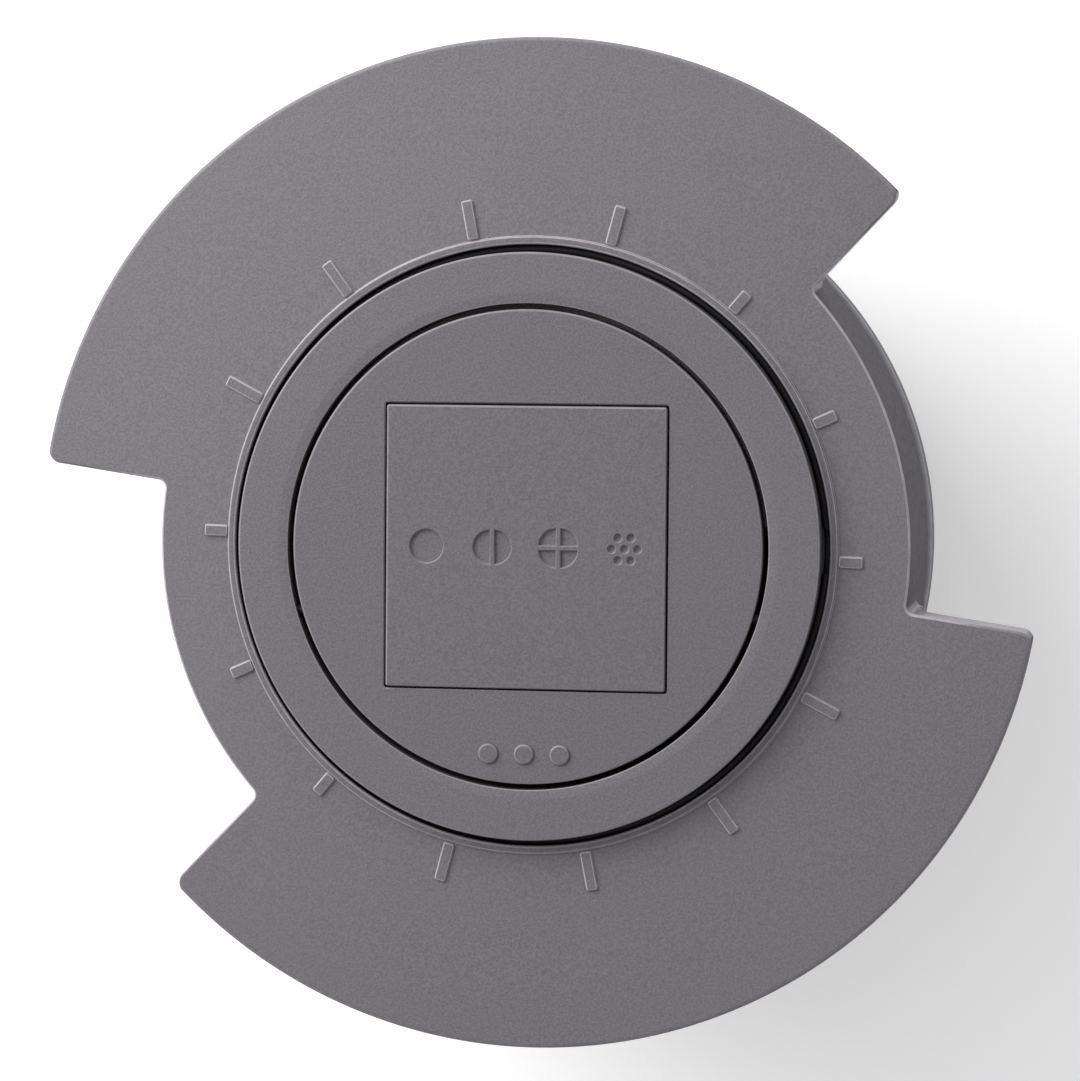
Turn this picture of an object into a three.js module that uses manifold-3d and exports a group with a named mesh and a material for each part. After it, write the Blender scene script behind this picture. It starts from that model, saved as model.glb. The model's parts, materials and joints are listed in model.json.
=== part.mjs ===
// Twist pill crusher: a winged cap on a double thread drives a piston, which does not turn,
// down into a steel cup. The piston is hollow and holds spare pills under a tilting lid.
// Millimetres, +Z up, origin on the floor under the middle of the crusher, cap screwed down.
import * as THREE from 'three';
import { mergeVertices } from 'three/addons/utils/BufferGeometryUtils.js';
import Module from 'manifold-3d';

const wasm = await Module();
wasm.setup();

// ---------------------------------------------------------------- driving dimensions
const FINE = 60;                 // facets round the large outer pieces
const ROUND = 48;                // facets round the inner pieces
const SMALL = 12;                // facets round screws and pins
const GAP = 0.3;                 // clearance between pieces that touch
const THROUGH = 1;               // how far a cutter passes beyond a face
const SINK = 0.3;                // how far a joined feature reaches into its parent
const CHAMFER = 0.3;             // broken edges
const CORNER = 1;                // wider bevels at feet and floors

const WING_R = 45;               // wing tips
const NARROW_R = 33.7;           // cap between the wings
const WING_START = { direction: 46.5, offset: 2.19 };  // straight ends of a wing: degrees, and
const WING_STOP = { direction: 171.57, offset: 0.36 }; // how far clockwise of the axis they pass
const WING_THICK = 3.4;
const WING_LEAN = 0.07;          // degrees that the wing ends lean per millimetre of height
const TIP_ROUND = 0.8;           // outer corners of the wings
const ROOT_ROUND = 0.75;         // inner corners beside the wings

const SKIRT_Z = 28.9;            // lower edge of the cap
const SKIRT_LOW_R = 34.25;       // the skirt widens downwards to this, nearly flush with the base
const SKIRT_IN_R = 32.1;
const SKIRT_TOP_Z = 41.6;        // underside of the dial plate
const GUSSET = { wide: 1.1, z: 37.2 };   // thicker wall that carries the wings
const DIAL_IN_R = 27.4;          // dial plate starts at the lip
const DIAL_IN_Z = 44.35;
const DIAL_SLOPE = 0.02;         // fall of the dial plate outwards
const BORE_R = 26.7;
const LIP_Z = 44.75;

const TICKS = 14;
const TICK_START = -1.9;         // degrees
const LONG_TICK = { inner: 27.6, length: 3.5 };
const SHORT_TICK = { inner: 27.5, length: 2.1 };
const SHORT_TICKS = [0, 1, 2, 7, 8, 9];
const TICK_WIDTH = 1.0;
const TICK_HIGH = 0.3;
const TICK_DRAFT = 0.12;

const HUB_R = 26.02;             // fixed ring seen inside the dial
const HUB_Z = 46.55;
const SPIGOT_Z = 40;             // lower end of the hub's spigot
const WELL_R = 21.5;
const WELL_BEVEL = 0.9;          // the hub's face falls this far from the well, by WELL_DROP
const WELL_DROP = 0.08;
const LEDGE = { wide: 1.1, thick: 1.2, fromY: 2 };
const LID_R = 21.0;
const LID_THICK = 2.4;
const LID_AXIS_Y = -6;           // the lid tilts about this line
const LID_AXIS_DROP = 1.3;       // below the lid's face
const PIN_X = [17.6, 24.4];
const PIN_R = 0.6;
const PIN_HOLE_R = 0.75;
const TILE = 25;
const TILE_THICK = 1.5;
const TILE_PROUD = 0.3;
const TILE_BEVEL = 0.2;
const MARKS_X = [-8.85, -2.95, 2.95, 8.85];
const MARK_R = 1.5;
const MARK_SLIT = 0.22;          // half the slit between pieces of a divided tablet
const MARK_DEEP = 0.35;
const GRAIN_R = 0.36;
const GRAIN_PITCH = 1.15;
const DOT_R = 0.9;
const DOT_HIGH = 0.3;
const DOT_PITCH = 3.2;
const DOT_Y = -18.3;

const GROOVE_Z = [42.3, 44.1];   // groove of the wire ring that holds cap and hub together
const GROOVE_DEEP = 0.65;
const WIRE_R = 0.65;
const WASHER_Z = [40.8, 41.4];   // between the piston's shoulder and the cap

const PISTON_R = 28.2;           // guided part
const PISTON_LOW_R = 26.2;       // part inside the cup
const PISTON_IN_R = 24.4;
const PISTON_STEP_Z = 27.6;
const PISTON_TOP_Z = 40.6;
const PISTON_NECK_Z = 42.1;
const PISTON_Z = 17.6;
const STORE_FLOOR_Z = 20.2;
const SEAL_R = 0.65;
const SEAL_Z = 22.2;
const SEAL_GROOVE_R = 25.1;
const SEAL_GROOVE_HALF = 0.9;

const PLATE_R = 25.8;            // crushing plate
const PLATE_Z = [15.9, 17.3];
const RIDGES = 16;
const RIDGE_HIGH = 1.1;
const RIDGE_HALF = 1.3;
const PLATE_RIDGES_FROM = 17.5;
const CUP_RIDGES_FROM = 6;
const PLATE_BOSS = { top: 2.5, foot: 4.5, high: 1 };
const PLATE_SCREW_AT = 14;

const CUP_R = 27.9;
const CUP_IN_R = 26.7;
const CUP_Z = 12.2;
const CUP_FLOOR = 1.2;
const CUP_TOP_Z = 27.0;

const SHOULDER_R = 34.6;
const SHOULDER_Z = 28.5;
const GRIP_R = 31.0;
const FOOT_R = 30.6;
const BASE_Z = 0.8;
const BASE_FLOOR_Z = [9.0, 11.0];
const CUP_BORE_R = 28.2;
const GUIDE_BORE_R = 28.7;
const NECK_R = 30.5;
const NECK_Z = 41.1;
const HOLLOW_R = 27.6;           // space under the base floor
const CUSHION = { inner: 19, outer: 26.5 };
const CUSHION_Z = [11.2, 12];
const FLOOR_HOLE_R = 8;
const FLUTES = 14;
const FLUTE_R = 3.2;
const FLUTE_DEEP = 0.55;
const FLUTE_Z = [5, 19.5];

const KEYS = 3;                  // ribs that keep the piston from turning
const KEY_WIDTH = 3;
const KEY_IN_R = 27.2;
const KEY_SIDE_GAP = 0.4;

const LEAD = 9;                  // rise of the cap in one turn
const STARTS = 2;
const THREAD_R = 31.5;
const THREAD_START = -61;        // degrees
const LUG_IN_R = 30.9;
const LUG_Z = 30.3;
const LUG_ARC = 50;              // degrees
const LUG_TO_THREAD = 0.72;      // height of the thread above the lugs that it carries

const COVER_R = 27.2;
const COVER_Z = [1.6, 3.4];
const FOOT_RING = { inner: 22, outer: 26, top: 2.1 };
const BOTTOM_SCREW_AT = 17.5;
const BOSS_R = 3;
const SCREWS = 3;
const SCREW = { head: 2.3, rim: 0.15, shank: 1.1, tip: 0.6, sunk: 0.1 };
const SCREW_SEAT = { head: 2.6, deep: 1.2 };
const SCREW_HOLE_R = 1.55;
const PILOT_R = 1.35;
const WEIGHT_IN_R = 4;
const WEIGHT_R = 24.5;
const WEIGHT_Z = [4.2, 8.2];

const TURN = Math.PI * 2;
const rad = (degrees) => degrees * Math.PI / 180;

// ---------------------------------------------------------------- materials
const plastic = (color) => new THREE.MeshStandardMaterial({ color, roughness: 0.62, metalness: 0 });
const steel = new THREE.MeshStandardMaterial({ color: 0xb9bcbf, roughness: 0.3, metalness: 1 });
const blackSteel = new THREE.MeshStandardMaterial({ color: 0x343437, roughness: 0.45, metalness: 1 });
const rubber = new THREE.MeshStandardMaterial({ color: 0x2b2b2d, roughness: 0.85, metalness: 0 });
const silicone = new THREE.MeshStandardMaterial({ color: 0x8f9398, roughness: 0.7, metalness: 0 });
const acetal = new THREE.MeshStandardMaterial({ color: 0x333334, roughness: 0.45, metalness: 0 });
const capGrey = plastic(0x65636a);
const hubGrey = plastic(0x616065);
const lidGrey = plastic(0x5e5d61);
const baseGrey = plastic(0x605f64);

// ---------------------------------------------------------------- solids
function toSolid(geometry) {
  let g = geometry.clone();
  g.deleteAttribute('normal');
  g.deleteAttribute('uv');
  g = mergeVertices(g, 1e-4);
  const xyz = g.attributes.position.array;
  const tris = [];
  for (let i = 0; i < g.index.count; i += 3) {
    const [a, b, c] = [g.index.getX(i), g.index.getX(i + 1), g.index.getX(i + 2)];
    if (a !== b && b !== c && c !== a) tris.push(a, b, c);
  }
  if (signedVolume(xyz, tris) < 0) tris.reverse();
  const mesh = new wasm.Mesh({
    numProp: 3,
    vertProperties: new Float32Array(xyz),
    triVerts: new Uint32Array(tris),
  });
  return new wasm.Manifold(mesh);
}

function signedVolume(xyz, tris) {
  const corner = (i) => new THREE.Vector3().fromArray(xyz, 3 * i);
  let sum = 0;
  for (let i = 0; i < tris.length; i += 3) {
    sum += corner(tris[i]).dot(corner(tris[i + 1]).cross(corner(tris[i + 2])));
  }
  return sum / 6;
}

function toGeometry(solid) {
  const mesh = solid.getMesh();
  const g = new THREE.BufferGeometry();
  g.setAttribute('position', new THREE.BufferAttribute(mesh.vertProperties, 3));
  g.setIndex(new THREE.BufferAttribute(mesh.triVerts, 1));
  g.computeVertexNormals();
  return g;
}

const join = (first, ...rest) => rest.reduce((a, b) => a.add(b), first);
const cut = (first, ...rest) => rest.reduce((a, b) => a.subtract(b), first);

// A closed profile of [radius, height] points turned about Z.
function revolve(profile, facets = ROUND) {
  const points = [...profile, profile[0]].map(([r, z]) => new THREE.Vector2(r, z));
  const g = new THREE.LatheGeometry(points, facets);
  g.rotateX(Math.PI / 2);
  return toSolid(g);
}

const ring = (rIn, rOut, z0, z1, facets = ROUND) =>
  revolve([[rIn, z0], [rOut, z0], [rOut, z1], [rIn, z1]], facets);

function box(width, depth, z0, z1) {
  const g = new THREE.BoxGeometry(width, depth, z1 - z0);
  g.translate(0, 0, (z0 + z1) / 2);
  return g;
}

function prism(points, z0, z1) {
  const options = { depth: z1 - z0, bevelEnabled: false };
  const g = new THREE.ExtrudeGeometry(new THREE.Shape(points), options);
  g.translate(0, 0, z0);
  return g;
}

function place(geometry, x, y, z = 0, turn = 0) {
  geometry.rotateZ(turn);
  geometry.translate(x, y, z);
  return geometry;
}

function polar(radius, angle) {
  return new THREE.Vector2(radius * Math.cos(angle), radius * Math.sin(angle));
}

function arc(centre, radius, from, to, steps) {
  const at = (i) => polar(radius, from + (to - from) * i / steps).add(centre);
  return Array.from({ length: steps + 1 }, (_, i) => at(i));
}

const around = (count, make) => Array.from({ length: count }, (_, i) => make(i * TURN / count, i));

// ---------------------------------------------------------------- cap
const dialZ = (r) => DIAL_IN_Z - DIAL_SLOPE * (r - DIAL_IN_R);

// One end of a wing, from the rounded root to the rounded tip. side is 1 where the gap lies
// clockwise of the end, and -1 where it lies the other way.
function wingEnd({ direction, offset }, side, turn) {
  const along = rad(direction) + turn;
  const corner = (radius, shift, round, from, to) => {
    const angle = along - Math.asin(shift / radius);
    return { angle, points: arc(polar(radius, angle), round, from(angle), to(angle), 4) };
  };
  const root = corner(NARROW_R + ROOT_ROUND, offset + side * ROOT_ROUND, ROOT_ROUND,
    (angle) => angle + side * Math.PI, () => along + side * Math.PI / 2);
  const tip = corner(WING_R - TIP_ROUND, offset - side * TIP_ROUND, TIP_ROUND,
    () => along - side * Math.PI / 2, (angle) => angle);
  const points = [...root.points, ...tip.points];
  return { root: root.angle, tip: tip.angle, points: side > 0 ? points : points.reverse() };
}

// Plan of the cap: two wings, and narrow arcs between them. The wings reach past their rim,
// which the turned body trims.
function capPlan() {
  const centre = new THREE.Vector2();
  return [0, Math.PI].flatMap((turn) => {
    const start = wingEnd(WING_START, 1, turn);
    const stop = wingEnd(WING_STOP, -1, turn);
    const next = wingEnd(WING_START, 1, turn + Math.PI);
    return [
      ...start.points,
      ...arc(centre, WING_R + SINK, start.tip, stop.tip, 24),
      ...stop.points,
      ...arc(centre, NARROW_R, stop.root, next.root, 12).slice(1, -1),
    ];
  });
}

// The plan as a prism whose lower end is turned and widened a little, so that the wing ends
// lean and the wall between the wings slopes.
function capPrism() {
  const g = prism(capPlan(), SKIRT_Z - THROUGH, LIP_Z + THROUGH);
  const p = g.attributes.position;
  const v = new THREE.Vector3();
  const axis = new THREE.Vector3(0, 0, 1);
  const spread = (SKIRT_LOW_R / NARROW_R - 1) / (dialZ(NARROW_R) - SKIRT_Z);
  for (let i = 0; i < p.count; i += 1) {
    v.fromBufferAttribute(p, i);
    const drop = dialZ(NARROW_R) - v.z;
    const wider = 1 + spread * drop;
    v.applyAxisAngle(axis, rad(WING_LEAN * drop));
    p.setXYZ(i, v.x * wider, v.y * wider, v.z);
  }
  return toSolid(g);
}

function capBody() {
  const rimZ = dialZ(WING_R);
  const underZ = rimZ - WING_THICK;
  const gussetR = NARROW_R + GUSSET.wide;
  return revolve([
    [BORE_R, SKIRT_TOP_Z], [BORE_R, GROOVE_Z[0]],
    [BORE_R + GROOVE_DEEP, GROOVE_Z[0]], [BORE_R + GROOVE_DEEP, GROOVE_Z[1]],
    [BORE_R, GROOVE_Z[1]], [BORE_R, LIP_Z - 0.2], [BORE_R + 0.2, LIP_Z],
    [DIAL_IN_R - 0.15, LIP_Z], [DIAL_IN_R, DIAL_IN_Z],
    [WING_R - 0.6, dialZ(WING_R - 0.6)], [WING_R - 0.15, rimZ - 0.2], [WING_R, rimZ - 0.6],
    [WING_R, underZ + 0.5], [WING_R - 0.5, underZ],
    [gussetR + CORNER, underZ], [gussetR + 0.2, underZ - CORNER + 0.2],
    [gussetR, GUSSET.z], [gussetR - 0.65, GUSSET.z - 0.65],
    [SKIRT_LOW_R + 0.1, SKIRT_Z + CHAMFER], [SKIRT_LOW_R - 0.2, SKIRT_Z],
    [SKIRT_IN_R, SKIRT_Z], [SKIRT_IN_R, SKIRT_TOP_Z],
  ], FINE);
}

// One raised bar of the dial, lying on the sloping plate.
function tick(angle, { inner, length }) {
  const g = new THREE.BoxGeometry(length, TICK_WIDTH, TICK_HIGH + SINK);
  const p = g.attributes.position;
  for (let i = 0; i < p.count; i += 1) {
    const draft = p.getZ(i) > 0 ? TICK_DRAFT : 0;
    p.setX(i, p.getX(i) - Math.sign(p.getX(i)) * draft);
    p.setY(i, p.getY(i) - Math.sign(p.getY(i)) * draft);
  }
  g.rotateY(Math.atan(DIAL_SLOPE));
  const r = inner + length / 2;
  g.translate(r, 0, dialZ(r) + (TICK_HIGH - SINK) / 2);
  g.rotateZ(angle);
  return toSolid(g);
}

// A bar bent along the thread's helix: root and tip radii, half widths at both, and its turn.
function helixBar({ root, tip, rootHalf, tipHalf, from, to, baseZ, steps, fade }) {
  const g = new THREE.BoxGeometry(1, 1, 1, steps, 1, 1);
  const p = g.attributes.position;
  for (let i = 0; i < p.count; i += 1) {
    const t = p.getX(i) + 0.5;
    const atTip = p.getY(i) > 0;
    const side = Math.sign(p.getZ(i));
    const angle = from + (to - from) * t;
    const end = Math.min(1, Math.min(t, 1 - t) / fade);
    const radius = atTip ? root + (tip - root) * (0.3 + 0.7 * end) : root;
    const z = baseZ + LEAD * (angle - from) / TURN + side * (atTip ? tipHalf : rootHalf);
    p.setXYZ(i, radius * Math.cos(angle), radius * Math.sin(angle), z);
  }
  return toSolid(g);
}

const lugs = () => around(STARTS, (angle) => helixBar({
  root: SKIRT_IN_R + SINK, tip: LUG_IN_R, rootHalf: 0.6, tipHalf: 0.4,
  from: angle, to: angle + rad(LUG_ARC), baseZ: LUG_Z, steps: 8, fade: 0.2,
}));

function wingedCap() {
  const ticks = around(TICKS, (angle, i) =>
    tick(angle + rad(TICK_START), SHORT_TICKS.includes(i) ? SHORT_TICK : LONG_TICK));
  return join(capBody().intersect(capPrism()), ...ticks, ...lugs());
}

// ---------------------------------------------------------------- hub and lid
const pinZ = HUB_Z - LID_AXIS_DROP;

function hubRing() {
  const shoulderZ = PISTON_NECK_Z + GAP;
  const body = revolve([
    [WELL_R, SPIGOT_Z], [PISTON_IN_R - GAP, SPIGOT_Z], [PISTON_IN_R - GAP, shoulderZ],
    [HUB_R - GROOVE_DEEP, shoulderZ], [HUB_R - GROOVE_DEEP, GROOVE_Z[1]],
    [HUB_R, GROOVE_Z[1]], [HUB_R, HUB_Z - CHAMFER], [HUB_R - CHAMFER, HUB_Z],
    [WELL_R + WELL_BEVEL, HUB_Z], [WELL_R, HUB_Z - WELL_DROP],
  ]);
  return cut(join(body, lidLedge()), ...pinHoles());
}

// Ledge that stops the lid level, on the side that opens.
function lidLedge() {
  const top = HUB_Z - LID_THICK - GAP;
  const ledge = ring(WELL_R - LEDGE.wide, WELL_R + SINK, top - LEDGE.thick, top);
  const side = 2 * HUB_R;
  const keep = place(box(side, side, SPIGOT_Z, HUB_Z), 0, LEDGE.fromY + side / 2);
  return ledge.intersect(toSolid(keep));
}

function rodX(r, x0, x1) {
  const g = new THREE.CylinderGeometry(r, r, x1 - x0, SMALL);
  g.rotateZ(Math.PI / 2);
  g.translate((x0 + x1) / 2, LID_AXIS_Y, pinZ);
  return toSolid(g);
}

const lidPin = (side) => {
  const [near, far] = PIN_X;
  return side > 0 ? rodX(PIN_R, near, far) : rodX(PIN_R, -far, -near);
};

const pinHoles = () => {
  const [near, far] = [PIN_X[0] - GAP, PIN_X[1] + GAP];
  return [rodX(PIN_HOLE_R, near, far), rodX(PIN_HOLE_R, -far, -near)];
};

function storeLid() {
  const bottom = HUB_Z - LID_THICK;
  const body = revolve([
    [0, bottom], [LID_R - CHAMFER, bottom], [LID_R, bottom + CHAMFER],
    [LID_R, HUB_Z - CHAMFER], [LID_R - CHAMFER, HUB_Z], [0, HUB_Z],
  ]);
  const pocket = TILE + 2 * GAP;
  const pocketFloor = HUB_Z + TILE_PROUD - TILE_THICK - GAP;
  const tilePocket = toSolid(box(pocket, pocket, pocketFloor, HUB_Z + THROUGH));
  const dots = [-1, 0, 1].map((i) => dot(i * DOT_PITCH));
  return join(cut(body, tilePocket, ...pinHoles()), ...dots);
}

function dot(x) {
  const g = new THREE.CylinderGeometry(DOT_R - TICK_DRAFT, DOT_R, DOT_HIGH + SINK, SMALL);
  g.rotateX(Math.PI / 2);
  return toSolid(place(g, x, DOT_Y, HUB_Z + (DOT_HIGH - SINK) / 2));
}

// Four dosage marks sunk into the tile: whole, halved and quartered tablet, and powder.
function badgeTile() {
  const top = HUB_Z + TILE_PROUD;
  const half = TILE / 2;
  const g = new THREE.BoxGeometry(TILE, TILE, TILE_THICK, 1, 1, 2);
  const p = g.attributes.position;
  for (let i = 0; i < p.count; i += 1) {
    const level = Math.sign(Math.round(2 * p.getZ(i) / TILE_THICK));
    const size = level > 0 ? half - TILE_BEVEL : half;
    if (level === 0) p.setZ(i, TILE_THICK / 2 - TILE_BEVEL);
    p.setX(i, Math.sign(p.getX(i)) * size);
    p.setY(i, Math.sign(p.getY(i)) * size);
  }
  g.translate(0, 0, top - TILE_THICK / 2);
  return cut(toSolid(g), ...dosageMarks(top));
}

// A tablet divided into equal pieces, each moved outwards by the slit.
function dividedMark(x, pieces, top) {
  const wide = TURN / pieces;
  const slide = pieces > 2 ? MARK_SLIT * Math.SQRT2 : MARK_SLIT;
  return around(pieces, (angle) => {
    const from = angle - Math.PI / 2;
    const middle = polar(slide, from + wide / 2).add(new THREE.Vector2(x, 0));
    const rim = arc(middle, MARK_R, from, from + wide, Math.round(SMALL / pieces) + 2);
    return toSolid(prism([middle, ...rim], top - MARK_DEEP, top + THROUGH));
  });
}

const sunkDisc = (r, x, y, top) => hole(r, top - MARK_DEEP, top + THROUGH, x, y);

function powderMarks(x, top) {
  const spots = [[0, 0], ...around(6, (angle) => polar(GRAIN_PITCH, angle).toArray())];
  return spots.map(([dx, dy]) => sunkDisc(GRAIN_R, x + dx, dy, top));
}

const dosageMarks = (top) => [
  sunkDisc(MARK_R, MARKS_X[0], 0, top),
  ...dividedMark(MARKS_X[1], 2, top),
  ...dividedMark(MARKS_X[2], 4, top),
  ...powderMarks(MARKS_X[3], top),
];

// ---------------------------------------------------------------- holes and screws
const screwPlaces = (at) =>
  around(SCREWS, (angle) => polar(at, angle - Math.PI / 2).toArray());

function hole(r, z0, z1, x, y, facets = SMALL) {
  const g = new THREE.CylinderGeometry(r, r, z1 - z0, facets);
  g.rotateX(Math.PI / 2);
  return toSolid(place(g, x, y, (z0 + z1) / 2));
}

// A hole through a plate, with a cone-shaped seat for a flat head that faces down.
function screwSeat([x, y], z0, z1) {
  const { head, deep } = SCREW_SEAT;
  const g = new THREE.CylinderGeometry(SCREW_HOLE_R, head, deep, SMALL);
  g.rotateX(Math.PI / 2);
  const cone = toSolid(place(g, x, y, z0 + deep / 2 - 0.05));
  return join(hole(SCREW_HOLE_R, z0 - THROUGH, z1 + THROUGH, x, y), cone);
}

// A flat-head screw, head down, with a cross recess.
function flatScrew([x, y], faceZ, length) {
  const { head, rim, shank, tip, sunk } = SCREW;
  const z = faceZ - sunk;
  const body = revolve([
    [0, z], [head, z], [head, z + rim], [shank, z + rim + (head - shank) * 0.9],
    [shank, z + length - tip], [shank / 2, z + length], [0, z + length],
  ], SMALL);
  const recess = [1, 3].map((eighth) =>
    toSolid(place(box(head * 1.1, head / 4, z - THROUGH, z + 0.7), 0, 0, 0, eighth * TURN / 8)));
  return cut(body, ...recess).translate([x, y, 0]);
}

// ---------------------------------------------------------------- press
// A block that stands out from or cuts into a wall, at the place of each key.
const keyBlocks = (rIn, rOut, width, z0, z1) => around(KEYS, (angle) => {
  const g = box(rOut - rIn, width, z0, z1);
  g.translate((rIn + rOut) / 2, 0, 0);
  g.rotateZ(angle + Math.PI / 2);
  return toSolid(g);
});

function piston() {
  const body = revolve([
    [0, PISTON_Z], [PISTON_LOW_R - CHAMFER, PISTON_Z], [PISTON_LOW_R, PISTON_Z + CHAMFER],
    [PISTON_LOW_R, SEAL_Z - SEAL_GROOVE_HALF], [SEAL_GROOVE_R, SEAL_Z - SEAL_GROOVE_HALF],
    [SEAL_GROOVE_R, SEAL_Z + SEAL_GROOVE_HALF], [PISTON_LOW_R, SEAL_Z + SEAL_GROOVE_HALF],
    [PISTON_LOW_R, PISTON_STEP_Z], [PISTON_R, PISTON_STEP_Z], [PISTON_R, PISTON_TOP_Z],
    [HUB_R, PISTON_TOP_Z], [HUB_R, PISTON_NECK_Z], [PISTON_IN_R, PISTON_NECK_Z],
    [PISTON_IN_R, STORE_FLOOR_Z + CORNER], [PISTON_IN_R - CORNER, STORE_FLOOR_Z],
    [0, STORE_FLOOR_Z],
  ]);
  const keyways = keyBlocks(KEY_IN_R - KEY_SIDE_GAP, PISTON_R + THROUGH,
    KEY_WIDTH + 2 * KEY_SIDE_GAP, PISTON_STEP_Z - THROUGH, PISTON_TOP_Z + THROUGH);
  const holes = screwPlaces(PLATE_SCREW_AT).map(([x, y]) =>
    hole(PILOT_R, PISTON_Z - THROUGH, STORE_FLOOR_Z - 0.7, x, y));
  return cut(body, ...keyways, ...holes);
}

// Radial ridges on a crushing face at height z, pointing up or down.
function ridges(z, up, phase, rIn, rOut) {
  const shape = new THREE.Shape([
    new THREE.Vector2(-RIDGE_HALF, 0),
    new THREE.Vector2(RIDGE_HALF, 0),
    new THREE.Vector2(0, RIDGE_HIGH),
  ]);
  return around(RIDGES, (angle) => {
    const g = new THREE.ExtrudeGeometry(shape, { depth: rOut - rIn, bevelEnabled: false });
    g.rotateX(Math.PI / 2);
    g.translate(0, rOut, 0);
    if (!up) g.rotateY(Math.PI);
    g.translate(0, 0, z);
    g.rotateZ(angle + phase);
    return toSolid(g);
  });
}

function crushPlate() {
  const [bottom, top] = PLATE_Z;
  const lap = 0.02;
  const body = revolve([
    [0, bottom], [PLATE_R - CHAMFER, bottom], [PLATE_R, bottom + CHAMFER], [PLATE_R, top], [0, top],
  ]);
  const teeth = ridges(bottom + lap, false, Math.PI / RIDGES, PLATE_RIDGES_FROM, PLATE_R - CORNER);
  const boss = revolve([
    [0, bottom - PLATE_BOSS.high], [PLATE_BOSS.top, bottom - PLATE_BOSS.high],
    [PLATE_BOSS.foot, bottom + lap], [0, bottom + lap],
  ]);
  const seats = screwPlaces(PLATE_SCREW_AT).map((at) => screwSeat(at, bottom, top));
  return cut(join(body, ...teeth, boss), ...seats);
}

function torus(r, section, z, sides = 6) {
  const profile = Array.from({ length: sides }, (_, i) => {
    const a = (i + 0.5) * TURN / sides;
    return [r + section * Math.cos(a), z + section * Math.sin(a)];
  });
  return revolve(profile);
}

function retainingRing() {
  const r = (BORE_R + HUB_R) / 2;
  const split = place(box(6, 4, SPIGOT_Z, HUB_Z), r, 0);
  return cut(torus(r, WIRE_R, (GROOVE_Z[0] + GROOVE_Z[1]) / 2), toSolid(split));
}

// ---------------------------------------------------------------- cup and base
function crushCup() {
  const floorZ = CUP_Z + CUP_FLOOR;
  const body = revolve([
    [0, CUP_Z], [CUP_R - CORNER, CUP_Z], [CUP_R, CUP_Z + CORNER],
    [CUP_R, CUP_TOP_Z - CHAMFER], [CUP_R - CHAMFER, CUP_TOP_Z],
    [CUP_IN_R + CHAMFER, CUP_TOP_Z], [CUP_IN_R, CUP_TOP_Z - CHAMFER],
    [CUP_IN_R, floorZ + CORNER], [CUP_IN_R - CORNER, floorZ], [0, floorZ],
  ]);
  return join(body, ...ridges(floorZ - 0.02, true, 0, CUP_RIDGES_FROM, CUP_IN_R - 2 * CORNER));
}

function baseBody() {
  return revolve([
    [HOLLOW_R, BASE_Z], [FOOT_R - CORNER, BASE_Z], [FOOT_R, BASE_Z + CORNER], [GRIP_R, 19.5],
    [GRIP_R + 0.5, 21.5], [GRIP_R + 1.6, 23.6], [SHOULDER_R - CHAMFER, 25.6],
    [SHOULDER_R, 26.5], [SHOULDER_R, SHOULDER_Z - 0.7],
    [SHOULDER_R - CHAMFER, SHOULDER_Z - 0.2], [SHOULDER_R - 0.8, SHOULDER_Z],
    [NECK_R, SHOULDER_Z], [NECK_R, NECK_Z - CHAMFER], [NECK_R - CHAMFER, NECK_Z],
    [GUIDE_BORE_R, NECK_Z], [GUIDE_BORE_R, CUP_TOP_Z + GAP], [CUP_BORE_R, CUP_TOP_Z + GAP],
    [CUP_BORE_R, BASE_FLOOR_Z[1]], [FLOOR_HOLE_R, BASE_FLOOR_Z[1]],
    [FLOOR_HOLE_R, BASE_FLOOR_Z[0]], [HOLLOW_R, BASE_FLOOR_Z[0]],
  ], FINE);
}

const neckThreads = () => around(STARTS, (angle) => {
  const from = angle + rad(THREAD_START);
  return helixBar({
    root: NECK_R - SINK, tip: THREAD_R, rootHalf: 0.85, tipHalf: 0.45,
    from, to: from + TURN, baseZ: LUG_Z + LUG_TO_THREAD, steps: 36, fade: 0.06,
  });
});

function gripFlutes() {
  return around(FLUTES, (angle) => {
    const at = polar(GRIP_R + FLUTE_R - FLUTE_DEEP, angle + Math.PI / FLUTES);
    return hole(FLUTE_R, FLUTE_Z[0], FLUTE_Z[1], at.x, at.y, 10);
  });
}

function baseShell() {
  const keys = keyBlocks(KEY_IN_R, GUIDE_BORE_R + SINK, KEY_WIDTH, CUP_TOP_Z + GAP, NECK_Z - 0.6);
  const places = screwPlaces(BOTTOM_SCREW_AT);
  const bosses = places.map(([x, y]) =>
    hole(BOSS_R, COVER_Z[1] + GAP, BASE_FLOOR_Z[0] + SINK, x, y));
  const bossHoles = places.map(([x, y]) =>
    hole(PILOT_R, COVER_Z[1] - THROUGH, BASE_FLOOR_Z[0] - 0.2, x, y));
  const solid = join(baseBody(), ...neckThreads(), ...keys, ...bosses);
  return cut(solid, ...bossHoles, ...gripFlutes());
}

function bottomCover() {
  const [bottom, top] = COVER_Z;
  const grooveIn = FOOT_RING.inner - GAP;
  const grooveOut = FOOT_RING.outer + GAP;
  const grooveTop = FOOT_RING.top + GAP;
  const body = revolve([
    [0, bottom], [grooveIn, bottom], [grooveIn, grooveTop], [grooveOut, grooveTop],
    [grooveOut, bottom], [COVER_R, bottom], [COVER_R, top], [0, top],
  ]);
  return cut(body, ...screwPlaces(BOTTOM_SCREW_AT).map((at) => screwSeat(at, bottom, top)));
}

function weightPlate() {
  const [bottom, top] = WEIGHT_Z;
  const holes = screwPlaces(BOTTOM_SCREW_AT).map(([x, y]) =>
    hole(BOSS_R + 0.5, bottom - THROUGH, top + THROUGH, x, y));
  return cut(ring(WEIGHT_IN_R, WEIGHT_R, bottom, top), ...holes);
}

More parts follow.
